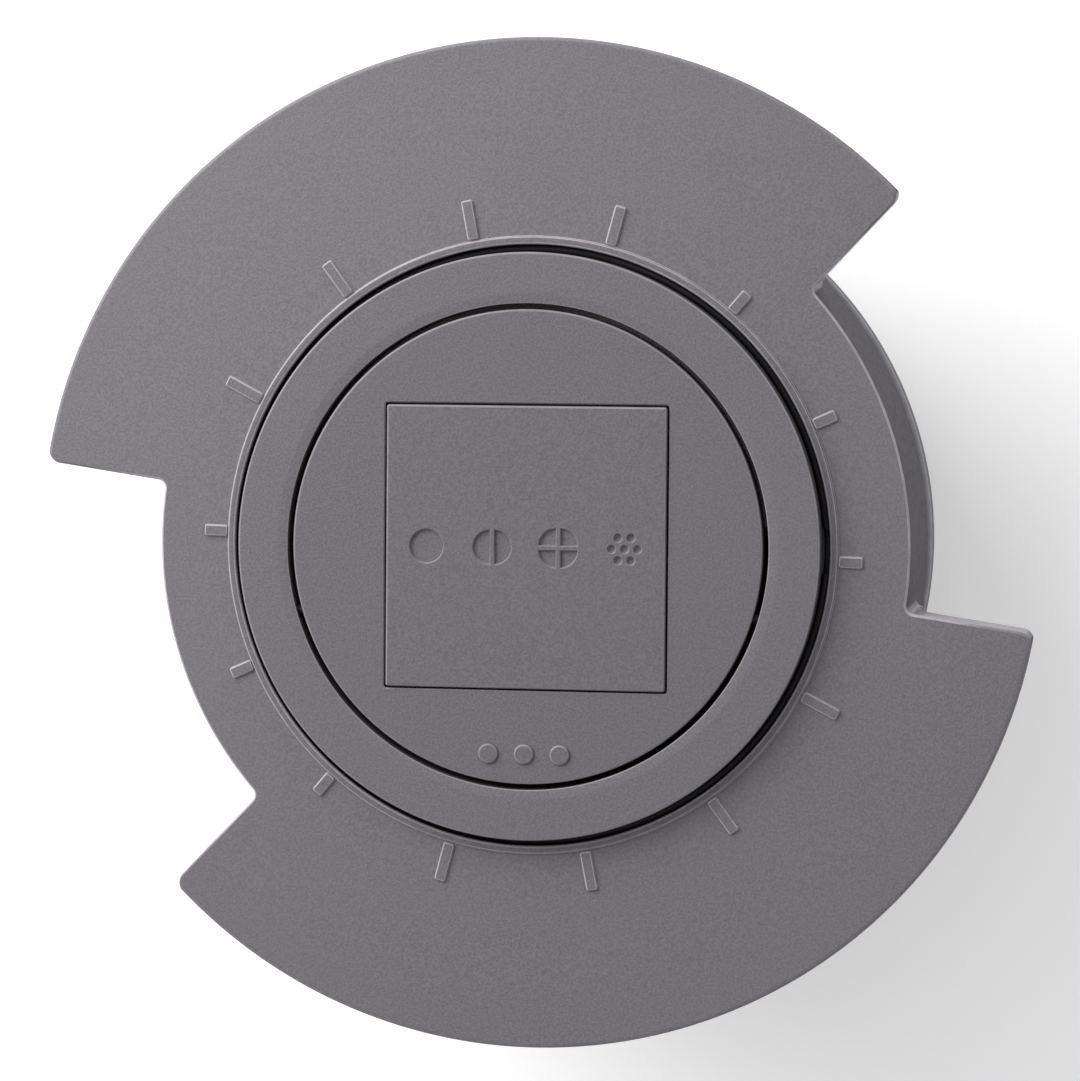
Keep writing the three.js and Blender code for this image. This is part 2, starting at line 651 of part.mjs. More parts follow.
const footRing = () => revolve([
  [FOOT_RING.inner + CHAMFER, 0], [FOOT_RING.outer - CHAMFER, 0],
  [FOOT_RING.outer, CHAMFER], [FOOT_RING.outer, FOOT_RING.top],
  [FOOT_RING.inner, FOOT_RING.top], [FOOT_RING.inner, CHAMFER],
]);

// ---------------------------------------------------------------- assembly
const crusher = new THREE.Group();

function add(name, solid, material) {
  const mesh = new THREE.Mesh(toGeometry(solid), material);
  mesh.name = name;
  crusher.add(mesh);
}

function addScrews(name, at, faceZ, length) {
  screwPlaces(at).forEach((centre, i) =>
    add(`${name}_${i + 1}`, flatScrew(centre, faceZ, length), steel));
}

add('base_shell', baseShell(), baseGrey);
add('bottom_cover', bottomCover(), baseGrey);
add('foot_ring', footRing(), rubber);
add('weight_plate', weightPlate(), steel);
add('cup_cushion', ring(CUSHION.inner, CUSHION.outer, ...CUSHION_Z), silicone);
add('crush_cup', crushCup(), steel);
addScrews('bottom_screw', BOTTOM_SCREW_AT, COVER_Z[0], 6.6);

add('piston', piston(), hubGrey);
add('crush_plate', crushPlate(), steel);
addScrews('plate_screw', PLATE_SCREW_AT, PLATE_Z[0], 3.3);
add('piston_seal', torus(CUP_IN_R - 0.1 - SEAL_R, SEAL_R, SEAL_Z), silicone);
add('hub_ring', hubRing(), hubGrey);
add('lid_pin_left', lidPin(-1), blackSteel);
add('lid_pin_right', lidPin(1), blackSteel);
add('thrust_washer', ring(HUB_R + GAP, PISTON_R - 0.1, ...WASHER_Z), acetal);
add('retaining_ring', retainingRing(), blackSteel);

add('winged_cap', wingedCap(), capGrey);
add('store_lid', storeLid(), lidGrey);
add('badge_tile', badgeTile(), lidGrey);

export default crusher;
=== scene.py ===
import json
import math

import bmesh
import bpy
from mathutils import Matrix, Vector


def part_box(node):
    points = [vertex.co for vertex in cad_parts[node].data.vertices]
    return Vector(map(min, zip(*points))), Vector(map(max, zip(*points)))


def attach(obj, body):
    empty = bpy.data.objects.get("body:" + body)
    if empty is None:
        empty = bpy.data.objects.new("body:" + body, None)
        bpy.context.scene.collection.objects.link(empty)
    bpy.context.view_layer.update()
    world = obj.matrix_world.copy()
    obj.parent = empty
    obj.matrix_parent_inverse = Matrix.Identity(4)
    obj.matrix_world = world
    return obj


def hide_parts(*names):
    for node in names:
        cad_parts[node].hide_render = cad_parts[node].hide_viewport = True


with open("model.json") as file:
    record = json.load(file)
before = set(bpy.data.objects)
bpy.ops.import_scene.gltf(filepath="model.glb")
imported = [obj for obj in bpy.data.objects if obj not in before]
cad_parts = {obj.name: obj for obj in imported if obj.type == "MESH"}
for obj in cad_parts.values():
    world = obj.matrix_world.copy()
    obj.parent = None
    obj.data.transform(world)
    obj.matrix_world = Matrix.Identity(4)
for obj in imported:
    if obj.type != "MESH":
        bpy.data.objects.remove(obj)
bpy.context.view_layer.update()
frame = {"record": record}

# A twist pill crusher. Lengths are millimetres until a mesh or light is made, and angles
# are radians unless a name ends in DEG. Z is the screw axis, and the cap is screwed down.
MM = 0.001
TURN = 2 * math.pi


def reach(node):
    """Outer radius and lowest and highest height of a round CAD node."""
    low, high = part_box(node)
    return (high[1] - low[1]) / 2 / MM, low[2] / MM, high[2] / MM


def joint_place(name):
    joint = next(j for j in frame["record"]["behaviour"]["joints"] if j["name"] == name)
    return Vector(joint["pos_m"]) / MM


# ------------------------------------------------ driving sizes
WING_R, SKIRT_Z, LIP_Z = reach("winged_cap")
HUB_R, SPIGOT_Z, HUB_Z = reach("hub_ring")
LID_R, LID_Z, DOT_TOP_Z = reach("store_lid")
TILE_HALF, TILE_LOW_Z, TILE_TOP_Z = reach("badge_tile")
PISTON_R, PISTON_Z, PISTON_NECK_Z = reach("piston")
PLATE_R, PLATE_Z, PLATE_TOP_Z = reach("crush_plate")
SEAL_R, SEAL_LOW_Z, SEAL_TOP_Z = reach("piston_seal")
CUP_R, CUP_Z, CUP_TOP_Z = reach("crush_cup")
CUSHION_R, CUSHION_Z, CUSHION_TOP_Z = reach("cup_cushion")
SHOULDER_R, BASE_Z, NECK_Z = reach("base_shell")
COVER_R, COVER_Z, COVER_TOP_Z = reach("bottom_cover")
FOOT_RING_R, FLOOR_Z, FOOT_RING_TOP_Z = reach("foot_ring")
WEIGHT_R, WEIGHT_Z, WEIGHT_TOP_Z = reach("weight_plate")
WASHER_R, WASHER_Z, WASHER_TOP_Z = reach("thrust_washer")
LID_AXIS = joint_place("lid_tilt")

FINE = 240                       # facets round the outer pieces
ROUND = 160                      # facets round the inner pieces
SMALL = 40                       # facets round screws and pins
EDGE = 0.25                      # radius of a moulded edge
GAP = 0.3                        # clearance between pieces
THROUGH = 1                      # how far a cutter passes beyond a face
SINK = 0.3                       # how far a joined feature reaches into its parent

NARROW_R = 33.7                  # cap between the wings
WING_START = (46.5, 2.19)        # straight ends of a wing: degrees, and how far clockwise
WING_STOP = (171.57, 0.36)       # of the axis they pass
WING_THICK = 3.4
WING_LEAN_DEG = 0.07             # lean of the wing ends per millimetre of height
SKIRT_LOW_R = 34.25              # the skirt widens downwards to this
GUSSET = (1.1, 37.2)             # wall that carries the wings: how thick, and its lower end
TIP_ROUND = 1.2                  # outer corners of the wings
ROOT_ROUND = 0.75                # inner corners beside the wings
SKIRT_IN_R = 32.1
SKIRT_TOP_Z = 41.6
DIAL_IN_R = 27.4
DIAL_IN_Z = 44.35
DIAL_SLOPE = 0.02
BORE_R = 26.7
GROOVE_Z = (42.3, 44.1)
GROOVE_DEEP = 0.65

TICKS = 14
TICK_START_DEG = -1.9
SHORT_TICKS = (0, 1, 2, 7, 8, 9)  # their places among the ticks
LONG_TICK = (27.6, 3.5)          # inner end and length
SHORT_TICK = (27.5, 2.1)
TICK_WIDTH = 1.0
TICK_HIGH = 0.3

WELL_R = 21.5
WELL_BEVEL = (0.9, 0.08)         # width and drop
LEDGE = (1.1, 1.2, 2.0)          # width, thickness, and the Y where it starts
PIN_R = 0.6
PIN_HOLE_R = 0.75
TILE_CORNER = 0.25
TILE_GAP = 0.18                  # between tile and pocket
MARKS_X = (-8.85, -2.95, 2.95, 8.85)
MARK_R = 1.5
MARK_SLIT = 0.22                 # half the slit between pieces of a divided tablet
MARK_DEEP = 0.35
GRAIN_R = 0.36
GRAIN_PITCH = 1.15
DOT_R = 0.9
DOT_PITCH = 3.2
DOT_Y = -18.3

PISTON_LOW_R = 26.2
PISTON_IN_R = 24.4
PISTON_STEP_Z = 27.6
PISTON_TOP_Z = 40.6
STORE_FLOOR_Z = 20.2
SEAL_GROOVE_R = 25.1
SEAL_GROOVE_HALF = 0.9
RIDGES = 16
RIDGE_HIGH = 1.1
RIDGE_HALF = 1.3
PLATE_RIDGES_FROM = 17.5
CUP_RIDGES_FROM = 6
RIDGE_SINK = 0.02                # how far a ridge reaches into its plate
PLATE_BOSS = (2.5, 4.5)          # radius at its top and at its foot
PLATE_SCREW_AT = 14

CUP_IN_R = 26.7
CUP_FLOOR_Z = CUP_Z + 1.2
CUSHION_IN_R = 19

SHOULDER_Z = 28.5
GRIP_R = 31.0
GRIP_TOP_Z = 19.5
FOOT_R = 30.6
BASE_FLOOR_Z = (9.0, 11.0)
CUP_BORE_R = 28.2
GUIDE_BORE_R = 28.7
NECK_R = 30.5
HOLLOW_R = 27.6
FLOOR_HOLE_R = 8
FLUTES = 14
FLUTE_R = 3.2
FLUTE_DEEP = 0.55
FLUTE_Z = (5.0, 19.5)
KEYS = 3
KEY_WIDTH = 3
KEY_IN_R = 27.2
KEY_SIDE_GAP = 0.4

LEAD = 9                         # rise of the cap in one turn
STARTS = 2
THREAD_R = 31.5
THREAD_START_DEG = -61
THREAD_Z = 31.02
LUG_Z = 30.3
LUG_ARC_DEG = 50
LUG_IN_R = 30.9

FOOT_RING_IN_R = 22
WEIGHT_IN_R = 4
SCREWS = 3
BOTTOM_SCREW_AT = 17.5
BOSS_R = 3
SCREW_HEAD_R = 2.3
SCREW_RIM = 0.15                 # upright rim of the head
SCREW_TIP = 0.6                  # tapered end
SCREW_PITCH = 0.6
SHANK_R = 1.1
SCREW_SEAT = (2.6, 1.2)          # radius and depth
SCREW_HOLE_R = 1.55
PILOT_R = 1.35
WIRE_R = 0.65

# ------------------------------------------------ outlines


def polar(radius, angle):
    return Vector((radius * math.cos(angle), radius * math.sin(angle)))


def arc(centre, radius, start, stop, steps):
    return [centre + polar(radius, start + (stop - start) * i / steps) for i in range(steps + 1)]


def circle(x, y, radius, steps=SMALL):
    return arc(Vector((x, y)), radius, 0, TURN, steps)[:-1]


def rounded(corners, steps=5):
    """A closed outline from corners (x, y, radius), each turned into a soft arc."""
    outline = []
    for i, (x, y, radius) in enumerate(corners):
        here = Vector((x, y))
        back = Vector(corners[i - 1][:2]) - here
        ahead = Vector(corners[(i + 1) % len(corners)][:2]) - here
        if radius == 0:
            outline.append(here)
            continue
        run = radius / math.tan(back.angle(ahead) / 2)
        run = min(run, 0.48 * back.length, 0.48 * ahead.length)
        start = here + back.normalized() * run
        stop = here + ahead.normalized() * run
        for k in range(steps + 1):
            t = k / steps
            outline.append(start.lerp(here, t).lerp(here.lerp(stop, t), t))
    return outline


def divided(outline, low, high, step):
    """The outline with extra points where it runs between two heights."""
    result = []
    for here, ahead in zip(outline, outline[1:] + outline[:1]):
        result.append(here)
        inside = min(here.y, ahead.y) < high and max(here.y, ahead.y) > low
        pieces = math.ceil((ahead - here).length / step) if inside else 1
        result += [here.lerp(ahead, k / pieces) for k in range(1, pieces)]
    return result


def oblong(half_x, half_y, corner=0.0):
    return rounded([(half_x, half_y, corner), (-half_x, half_y, corner),
                    (-half_x, -half_y, corner), (half_x, -half_y, corner)])


# ------------------------------------------------ bodies


def lathe(outline, segments=ROUND, shift=None):
    """A closed outline of (radius, height) turned about Z. shift adds to the radius."""
    body = bmesh.new()
    rings = []
    for radius, z in outline:
        count = segments if radius > MM else 1
        angles = [TURN * i / segments for i in range(count)]
        extra = [shift(radius, z, a) if shift else 0 for a in angles]
        places = [polar(radius + e, a) for a, e in zip(angles, extra)]
        rings.append([body.verts.new((p.x, p.y, z)) for p in places])
    for low, high in zip(rings, rings[1:] + rings[:1]):
        if len(low) == len(high) == 1:
            continue
        for i in range(segments):
            j = i + 1
            loop = [low[i % len(low)], low[j % segments % len(low)],
                    high[j % segments % len(high)], high[i % len(high)]]
            body.faces.new(list(dict.fromkeys(loop)))
    bmesh.ops.recalc_face_normals(body, faces=body.faces)
    return body


def ring(inner, outer, low, high, under, over, segments=FINE):
    """A flat ring whose lower and upper edges are rounded."""
    return lathe(rounded([(inner, low, under), (outer, low, under),
                          (outer, high, over), (inner, high, over)]), segments)


def lofted(rows):
    """A closed body whose skin joins the rows of points, with a face at both ends."""
    body = bmesh.new()
    rings = [[body.verts.new(place) for place in row] for row in rows]
    for low, high in zip(rings, rings[1:]):
        for i in range(len(low)):
            body.faces.new((low[i - 1], low[i], high[i], high[i - 1]))
    body.faces.new(rings[-1])
    body.faces.new(rings[0][::-1])
    bmesh.ops.recalc_face_normals(body, faces=body.faces)
    return body


def inset_directions(outline):
    """For each point of an anticlockwise outline, the step that moves both edges in by 1."""
    steps = []
    for i, here in enumerate(outline):
        back = (here - outline[i - 1]).normalized()
        ahead = (outline[(i + 1) % len(outline)] - here).normalized()
        inward = Vector((-back.y - ahead.y, back.x + ahead.x))
        steps.append(inward * 2 / inward.length_squared)
    return steps


def stack(outline, rows):
    """A body whose rows are the outline put through each function of (point, inward step)."""
    steps = inset_directions(outline)
    return lofted([[row(p, s) for p, s in zip(outline, steps)] for row in rows])


def slab(outline, rows):
    """The outline as a body, inset by the first value of each row at the second, a height."""
    def row(inset, z):
        return lambda point, step: (*(point + step * inset), z)
    return stack(outline, [row(inset, z) for inset, z in rows])


def edged(low, high, bottom_edge, top_edge):
    """Rows for a slab from low to high with rounded edges."""
    turns = [math.radians(a) for a in (0, 22, 45, 68, 90)]
    under = [(bottom_edge * (1 - math.sin(a)), low + bottom_edge * (1 - math.cos(a)))
             for a in turns] if bottom_edge else [(0, low)]
    over = [(top_edge * (1 - math.cos(a)), high - top_edge * (1 - math.sin(a)))
            for a in turns] if top_edge else [(0, high)]
    return under + over


def turned(body, angle, move=(0, 0, 0), axis="Z"):
    """The body turned about an axis through the origin and then moved."""
    body.transform(Matrix.Translation(move) @ Matrix.Rotation(angle, 4, axis))
    return body


def split_faces(body, axis, places):
    """Divides the faces of a body that cross any of the places along an axis."""
    for place in places:
        here, across = Vector((0, 0, 0)), Vector((0, 0, 0))
        here[axis], across[axis] = place, 1
        whole = body.verts[:] + body.edges[:] + body.faces[:]
        bmesh.ops.bisect_plane(body, geom=whole, plane_co=here, plane_no=across)


def gathered(bodies):
    """Several separate bodies as one mesh."""
    whole = bmesh.new()
    for body in bodies:
        mesh = bpy.data.meshes.new("part")
        body.to_mesh(mesh)
        body.free()
        whole.from_mesh(mesh)
        bpy.data.meshes.remove(mesh)
    return whole


def temporary(body):
    """A scene object for a boolean, removed again by combined."""
    mesh = bpy.data.meshes.new("temporary")
    body.to_mesh(mesh)
    body.free()
    thing = bpy.data.objects.new("temporary", mesh)
    bpy.context.scene.collection.objects.link(thing)
    return thing


def combined(body, others, operation):
    """The body after UNION, DIFFERENCE or INTERSECT with bodies that don't touch each other."""
    target = temporary(body)
    tool = temporary(gathered(others))
    modifier = target.modifiers.new("combine", "BOOLEAN")
    modifier.solver = "MANIFOLD"
    modifier.operation = operation
    modifier.object = tool
    evaluated = target.evaluated_get(bpy.context.evaluated_depsgraph_get())
    result = bmesh.new()
    result.from_mesh(evaluated.to_mesh())
    evaluated.to_mesh_clear()
    for thing in (target, tool):
        mesh = thing.data
        bpy.data.objects.remove(thing)
        bpy.data.meshes.remove(mesh)
    return result


def around(count, make, start=0.0):
    """Bodies from make(number), spaced evenly about Z."""
    return [turned(make(i), start + TURN * i / count) for i in range(count)]


def rod(radius, low, high, x=0.0, y=0.0, edge=0.0):
    return slab(circle(x, y, radius), edged(low, high, edge, edge))


def screw_places(at):
    return [polar(at, TURN * i / SCREWS - TURN / 4) for i in range(SCREWS)]


def show(name, body, rides, node, material, crease_deg=32):
    """Makes the finished piece, which stands for its CAD node and rides on a body."""
    bmesh.ops.remove_doubles(body, verts=body.verts, dist=1e-4)
    bmesh.ops.scale(body, vec=(MM, MM, MM), verts=body.verts)
    mesh = bpy.data.meshes.new(name)
    body.to_mesh(mesh)
    body.free()
    mesh.shade_smooth()
    mesh.set_sharp_from_angle(angle=math.radians(crease_deg))
    mesh.materials.append(material)
    thing = bpy.data.objects.new(name, mesh)
    bpy.context.scene.collection.objects.link(thing)
    flatten = thing.modifiers.new("flat_faces", "WEIGHTED_NORMAL")
    flatten.keep_sharp = True
    flatten.weight = 100
    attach(thing, rides)
    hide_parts(node)


# ------------------------------------------------ materials


class Nodes:
    """Shader nodes of one new material."""

    def __init__(self, name):
        self.material = bpy.data.materials.new(name)
        self.material.use_nodes = True
        self.tree = self.material.node_tree
        self.shader = self.tree.nodes["Principled BSDF"]
        self.place = self.add("ShaderNodeTexCoord").outputs["Object"]

    def add(self, kind, inputs=None, **settings):
        made = self.tree.nodes.new(kind)
        for key, value in settings.items():
            setattr(made, key, value)
        for key, value in (inputs or {}).items():
            self.feed(made.inputs[key], value)
        return made

    def feed(self, socket, value):
        if isinstance(value, bpy.types.NodeSocket):
            self.tree.links.new(value, socket)
        else:
            socket.default_value = value

    def noise(self, scale, detail=2.0, rough=0.5, place=None):
        """Noise from 0 to 1, scale in features per metre."""
        made = self.add("ShaderNodeTexNoise", {
            "Vector": place or self.place, "Scale": scale, "Detail": detail, "Roughness": rough,
        })
        return made.outputs["Fac"]

    def spread(self, value, low, high, to_low=0.0, to_high=1.0):
        made = self.add("ShaderNodeMapRange", {
            "Value": value, "From Min": low, "From Max": high,
            "To Min": to_low, "To Max": to_high,
        })
        return made.outputs["Result"]

    def math(self, operation, first, second=0.0):
        made = self.add("ShaderNodeMath", {0: first, 1: second}, operation=operation)
        return made.outputs[0]

    def mix(self, share, first, second):
        made = self.add("ShaderNodeMix", {0: share, 6: first, 7: second}, data_type="RGBA")
        return made.outputs[2]

    def edges(self, radius):
        """0 on flat faces, rising to 1 on outside and inside edges."""
        soft = self.add("ShaderNodeBevel", {"Radius": radius * MM}, samples=6)
        true = self.add("ShaderNodeNewGeometry")
        dot = self.add("ShaderNodeVectorMath",
                       {0: soft.outputs["Normal"], 1: true.outputs["Normal"]},
                       operation="DOT_PRODUCT")
        return self.spread(dot.outputs["Value"], 0.995, 0.86)

    def facing(self):
        """How far the surface faces up and away from the piece's axis, and its radius there."""
        normal = self.add("ShaderNodeTexCoord").outputs["Normal"]
        up = self.add("ShaderNodeSeparateXYZ", {0: normal}).outputs["Z"]
        flat = self.add("ShaderNodeVectorMath", {0: self.place, 1: (1, 1, 0)},
                        operation="MULTIPLY").outputs[0]
        radius = self.add("ShaderNodeVectorMath", {0: flat}, operation="LENGTH")
        away = self.add("ShaderNodeVectorMath", {0: flat}, operation="NORMALIZE").outputs[0]
        outward = self.add("ShaderNodeVectorMath", {0: normal, 1: away}, operation="DOT_PRODUCT")
        return up, outward.outputs["Value"], radius.outputs["Value"]

    def bump(self, height, depth, under=None):
        """A bump of that depth in millimetres, on top of another bump."""
        inputs = {"Height": height, "Distance": depth * MM, "Strength": 1.0}
        if under:
            inputs["Normal"] = under
        return self.add("ShaderNodeBump", inputs).outputs["Normal"]

    def finish(self, **inputs):
        for key, value in inputs.items():
            self.feed(self.shader.inputs[key.replace("_", " ")], value)
        return self.material


def tinted(colour, factor):
    return (*(min(1.0, c * factor) for c in colour[:3]), 1.0)


def moulded_plastic(name, colour, rough=0.46, wear_and_highlight=2.2, worn_and_lit_from=0, wall_grain_and_shade=0.8):
    """Grey plastic from a spark-eroded mould. Above a height its upper edges are rubbed and
    also painted pale as a highlight, the ends of the wings are polished and painted pale as a
    reflection, and its round walls keep a coarser grain, painted darker as shade by a given share."""
    n = Nodes(name)
    grain = n.noise(5200, 2.0, 0.6)
    pores = n.noise(1700, 3.0, 0.6)
    flow = n.noise(55, 3.0, 0.55)
    rub = n.noise(420, 4.0, 0.7)
    up, outward, radius = n.facing()
    outward = n.math("ABSOLUTE", outward)
    upright = n.spread(n.math("ABSOLUTE", up), 0.3, 0.12)
    edge = n.math("MULTIPLY", n.spread(up, 0.12, 0.3), n.spread(up, 0.985, 0.95))
    inner = n.spread(radius, (NARROW_R + 3) * MM, (NARROW_R + 7) * MM, 1.0, 0.2)
    height = n.add("ShaderNodeSeparateXYZ", {0: n.place}).outputs["Z"]
    inner = n.math("MULTIPLY", inner, n.spread(height, (worn_and_lit_from - 1) * MM, worn_and_lit_from * MM))
    # upward-facing edges: rubbed wear in patches, together with a painted highlight
    worn_and_lit_edges = n.math("MULTIPLY", n.math("MULTIPLY", edge, inner), n.spread(rub, 0.3, 0.6, 0.6, 1.0))
    # wing ends: polish lowers the roughness, and a painted reflection makes them much paler
    polish_and_painted_reflection = n.math("MULTIPLY", upright, n.spread(outward, 0.6, 0.4))
    polish_and_painted_reflection = n.math("MULTIPLY", polish_and_painted_reflection,
                     n.spread(radius, (NARROW_R - 0.3) * MM, (NARROW_R - 0.1) * MM))
    # outward-facing walls: a coarser, rougher grain, and a painted shade that darkens them
    coarse_grain_and_shade = n.math("MULTIPLY", upright, n.spread(outward, 0.75, 0.95, 0.0, wall_grain_and_shade))
    shade = n.mix(n.spread(flow, 0.3, 0.7), tinted(colour, 0.955), tinted(colour, 1.045))
    shade = n.mix(n.spread(grain, 0.4, 0.6, 0.0, 0.85), tinted(colour, 1.34), shade)
    shade = n.mix(n.spread(pores, 0.56, 0.74, 0.0, 0.24), shade, tinted(colour, 0.6))
    # painted shade: the pitted colour of the walls is much darker than the rest
    pitted_and_shaded = n.mix(n.spread(pores, 0.35, 0.62), tinted(colour, 0.7), tinted(colour, 0.42))
    shade = n.mix(coarse_grain_and_shade, shade, pitted_and_shaded)
    # the edges are made paler, partly from wear and partly as a painted highlight
    shade = n.mix(worn_and_lit_edges, shade, tinted(colour, wear_and_highlight))
    # painted reflection on the wing ends
    shade = n.mix(n.math("MULTIPLY", polish_and_painted_reflection, 0.85), shade, tinted(colour, 2.1))
    roughness = n.spread(pores, 0.3, 0.7, rough - 0.05, rough + 0.07)
    roughness = n.math("ADD", roughness, n.math("MULTIPLY", coarse_grain_and_shade, 0.5))
    roughness = n.math("SUBTRACT", roughness, n.math("MULTIPLY", polish_and_painted_reflection, 0.12))
    relief = n.bump(grain, 0.014)
    relief = n.bump(pores, 0.02, relief)
    return n.finish(Base_Color=shade, Roughness=roughness, Normal=relief,
                    Specular_IOR_Level=0.32)


def turned_place(n, squeeze):
    """Coordinates that run round the axis, so that noise becomes fine turning lines."""
    flat = n.add("ShaderNodeVectorMath", {0: n.place, 1: (1, 1, 0)}, operation="MULTIPLY")
    radius = n.add("ShaderNodeVectorMath", {0: flat.outputs[0]}, operation="LENGTH")
    parts = n.add("ShaderNodeSeparateXYZ", {0: n.place})
    around_axis = n.math("ARCTAN2", parts.outputs["Y"], parts.outputs["X"])
    joined = n.add("ShaderNodeCombineXYZ", {
        "X": n.math("MULTIPLY", around_axis, squeeze),
        "Y": radius.outputs["Value"], "Z": parts.outputs["Z"],
    })
    return joined.outputs[0]


def turned_steel(name, colour, rough=0.26):
    """Stainless steel with turning lines, light smears and edges brightened as a painted
    highlight.
    """
    n = Nodes(name)
    lines = n.noise(9000, 2.0, 0.6, turned_place(n, 0.0004))
    smear = n.noise(120, 3.0, 0.6)
    fleck = n.noise(2500, 2.0, 0.5)
    shade = n.mix(n.spread(smear, 0.3, 0.7), tinted(colour, 0.88), tinted(colour, 1.06))
    shade = n.mix(n.spread(fleck, 0.6, 0.75, 0.0, 0.4), shade, tinted(colour, 0.7))
    # painted highlight along the edges
    shade = n.mix(n.math("MULTIPLY", n.edges(0.2), 0.6), shade, tinted(colour, 1.35))
    roughness = n.math("ADD", n.spread(lines, 0.3, 0.7, rough - 0.08, rough + 0.1),
                       n.spread(smear, 0.4, 0.7, 0.0, 0.08))
    return n.finish(Base_Color=shade, Metallic=1.0, Roughness=roughness,
                    Normal=n.bump(lines, 0.004))


def plated_steel(name, colour, rough=0.36):
    """Zinc-plated steel: crystalline patches, a faint tint, rubbed edges that also carry a painted
    highlight.
    """
    n = Nodes(name)
    crystals = n.add("ShaderNodeTexVoronoi", {"Vector": n.place, "Scale": 1400.0})
    patch = n.noise(300, 3.0, 0.6)
    pits = n.noise(5200, 2.0, 0.5)
    shade = n.mix(n.spread(patch, 0.3, 0.7), tinted(colour, 0.82),
                  (colour[0] * 1.02, colour[1] * 1.05, colour[2] * 1.12, 1.0))
    shade = n.mix(n.spread(crystals.outputs["Distance"], 0.0, 0.9, 0.0, 0.25), shade,
                  tinted(colour, 1.3))
    # edges made paler, partly from wear and partly as a painted highlight
    shade = n.mix(n.math("MULTIPLY", n.edges(0.15), 0.7), shade, tinted(colour, 1.5))
    roughness = n.spread(pits, 0.3, 0.7, rough - 0.08, rough + 0.12)
    return n.finish(Base_Color=shade, Metallic=1.0, Roughness=roughness,
                    Normal=n.bump(pits, 0.006))


def elastomer(name, colour, rough, dust):
    """Rubber or silicone: soft grain, dust in its pores, paler rubbed edges that also carry a
    painted highlight.
    """
    n = Nodes(name)
    grain = n.noise(3200, 3.0, 0.6)
    dusty = n.noise(260, 4.0, 0.7)
    shade = n.mix(n.spread(grain, 0.35, 0.65), tinted(colour, 0.85), tinted(colour, 1.15))
    shade = n.mix(n.spread(dusty, 0.52, 0.8, 0.0, dust), shade, (0.42, 0.41, 0.4, 1.0))
    # edges made paler, partly from wear and partly as a painted highlight
    shade = n.mix(n.math("MULTIPLY", n.edges(0.3), 0.4), shade, tinted(colour, 1.7))
    roughness = n.spread(grain, 0.3, 0.7, rough - 0.06, rough + 0.06)
    return n.finish(Base_Color=shade, Roughness=roughness, Normal=n.bump(grain, 0.015),
                    Specular_IOR_Level=0.35)


def slot_colour(slot):
    found = next(m for m in frame["record"]["materials"] if m["slot"] == slot)
    return (*found["base_color"], 1.0)


# The edge factors below set the wear and the painted edge highlight together, and the wall share
# sets the painted shade on the walls.
CAP_PLASTIC = moulded_plastic("cap_plastic", slot_colour("cap_plastic"), wear_and_highlight=3.2)
HUB_PLASTIC = moulded_plastic("hub_plastic", slot_colour("hub_plastic"))
BADGE_PLASTIC = moulded_plastic("badge_plastic", slot_colour("badge_plastic"), rough=0.44)
BASE_PLASTIC = moulded_plastic("base_plastic", slot_colour("base_plastic"), rough=0.45,
                               wear_and_highlight=3.0, worn_and_lit_from=SHOULDER_Z - 2, wall_grain_and_shade=0.4)
STAINLESS = turned_steel("stainless", slot_colour("stainless"))
STEEL_WIRE = turned_steel("steel_wire", slot_colour("steel_wire"), rough=0.5)
STEEL_PLATE = plated_steel("steel_plate", slot_colour("steel_plate"), rough=0.42)
SCREW_STEEL = plated_steel("screw_steel", slot_colour("screw_steel"))
FOOT_RUBBER = elastomer("foot_rubber", slot_colour("foot_rubber"), rough=0.8, dust=0.25)
SILICONE = elastomer("silicone", slot_colour("silicone"), rough=0.62, dust=0.1)
ACETAL = moulded_plastic("acetal", slot_colour("acetal"), rough=0.42, wear_and_highlight=1.1)

# ------------------------------------------------ cap


def dial_z(radius):
    """Height of the dial plate, which falls outwards."""
    return DIAL_IN_Z - DIAL_SLOPE * (radius - DIAL_IN_R)


def wing_end(end, side, turn):
    """Rounded root and tip of a wing's end. side is 1 where the gap lies clockwise of it."""
    direction, offset = math.radians(end[0]) + turn, end[1]
    root_r, tip_r = NARROW_R + ROOT_ROUND, WING_R - TIP_ROUND
    root = direction - math.asin((offset + side * ROOT_ROUND) / root_r)
    tip = direction - math.asin((offset - side * TIP_ROUND) / tip_r)
    quarter = side * TURN / 4
    points = arc(polar(root_r, root), ROOT_ROUND, root + 2 * quarter, direction + quarter, 10)
    points += arc(polar(tip_r, tip), TIP_ROUND, direction - quarter, tip, 10)
    return root, tip, points if side > 0 else points[::-1]


def cap_plan():
    """Two wings, which reach a little past their rim, and the narrow arcs between them."""
    origin = Vector((0, 0))
    plan = []
    for turn in (0, TURN / 2):
        _, tip, points = wing_end(WING_START, 1, turn)
        far_root, far_tip, far_points = wing_end(WING_STOP, -1, turn)
        next_root, _, _ = wing_end(WING_START, 1, turn + TURN / 2)
        plan += points + arc(origin, WING_R + SINK, tip, far_tip, 90)
        plan += far_points + arc(origin, NARROW_R, far_root, next_root, 40)[1:-1]
    return plan


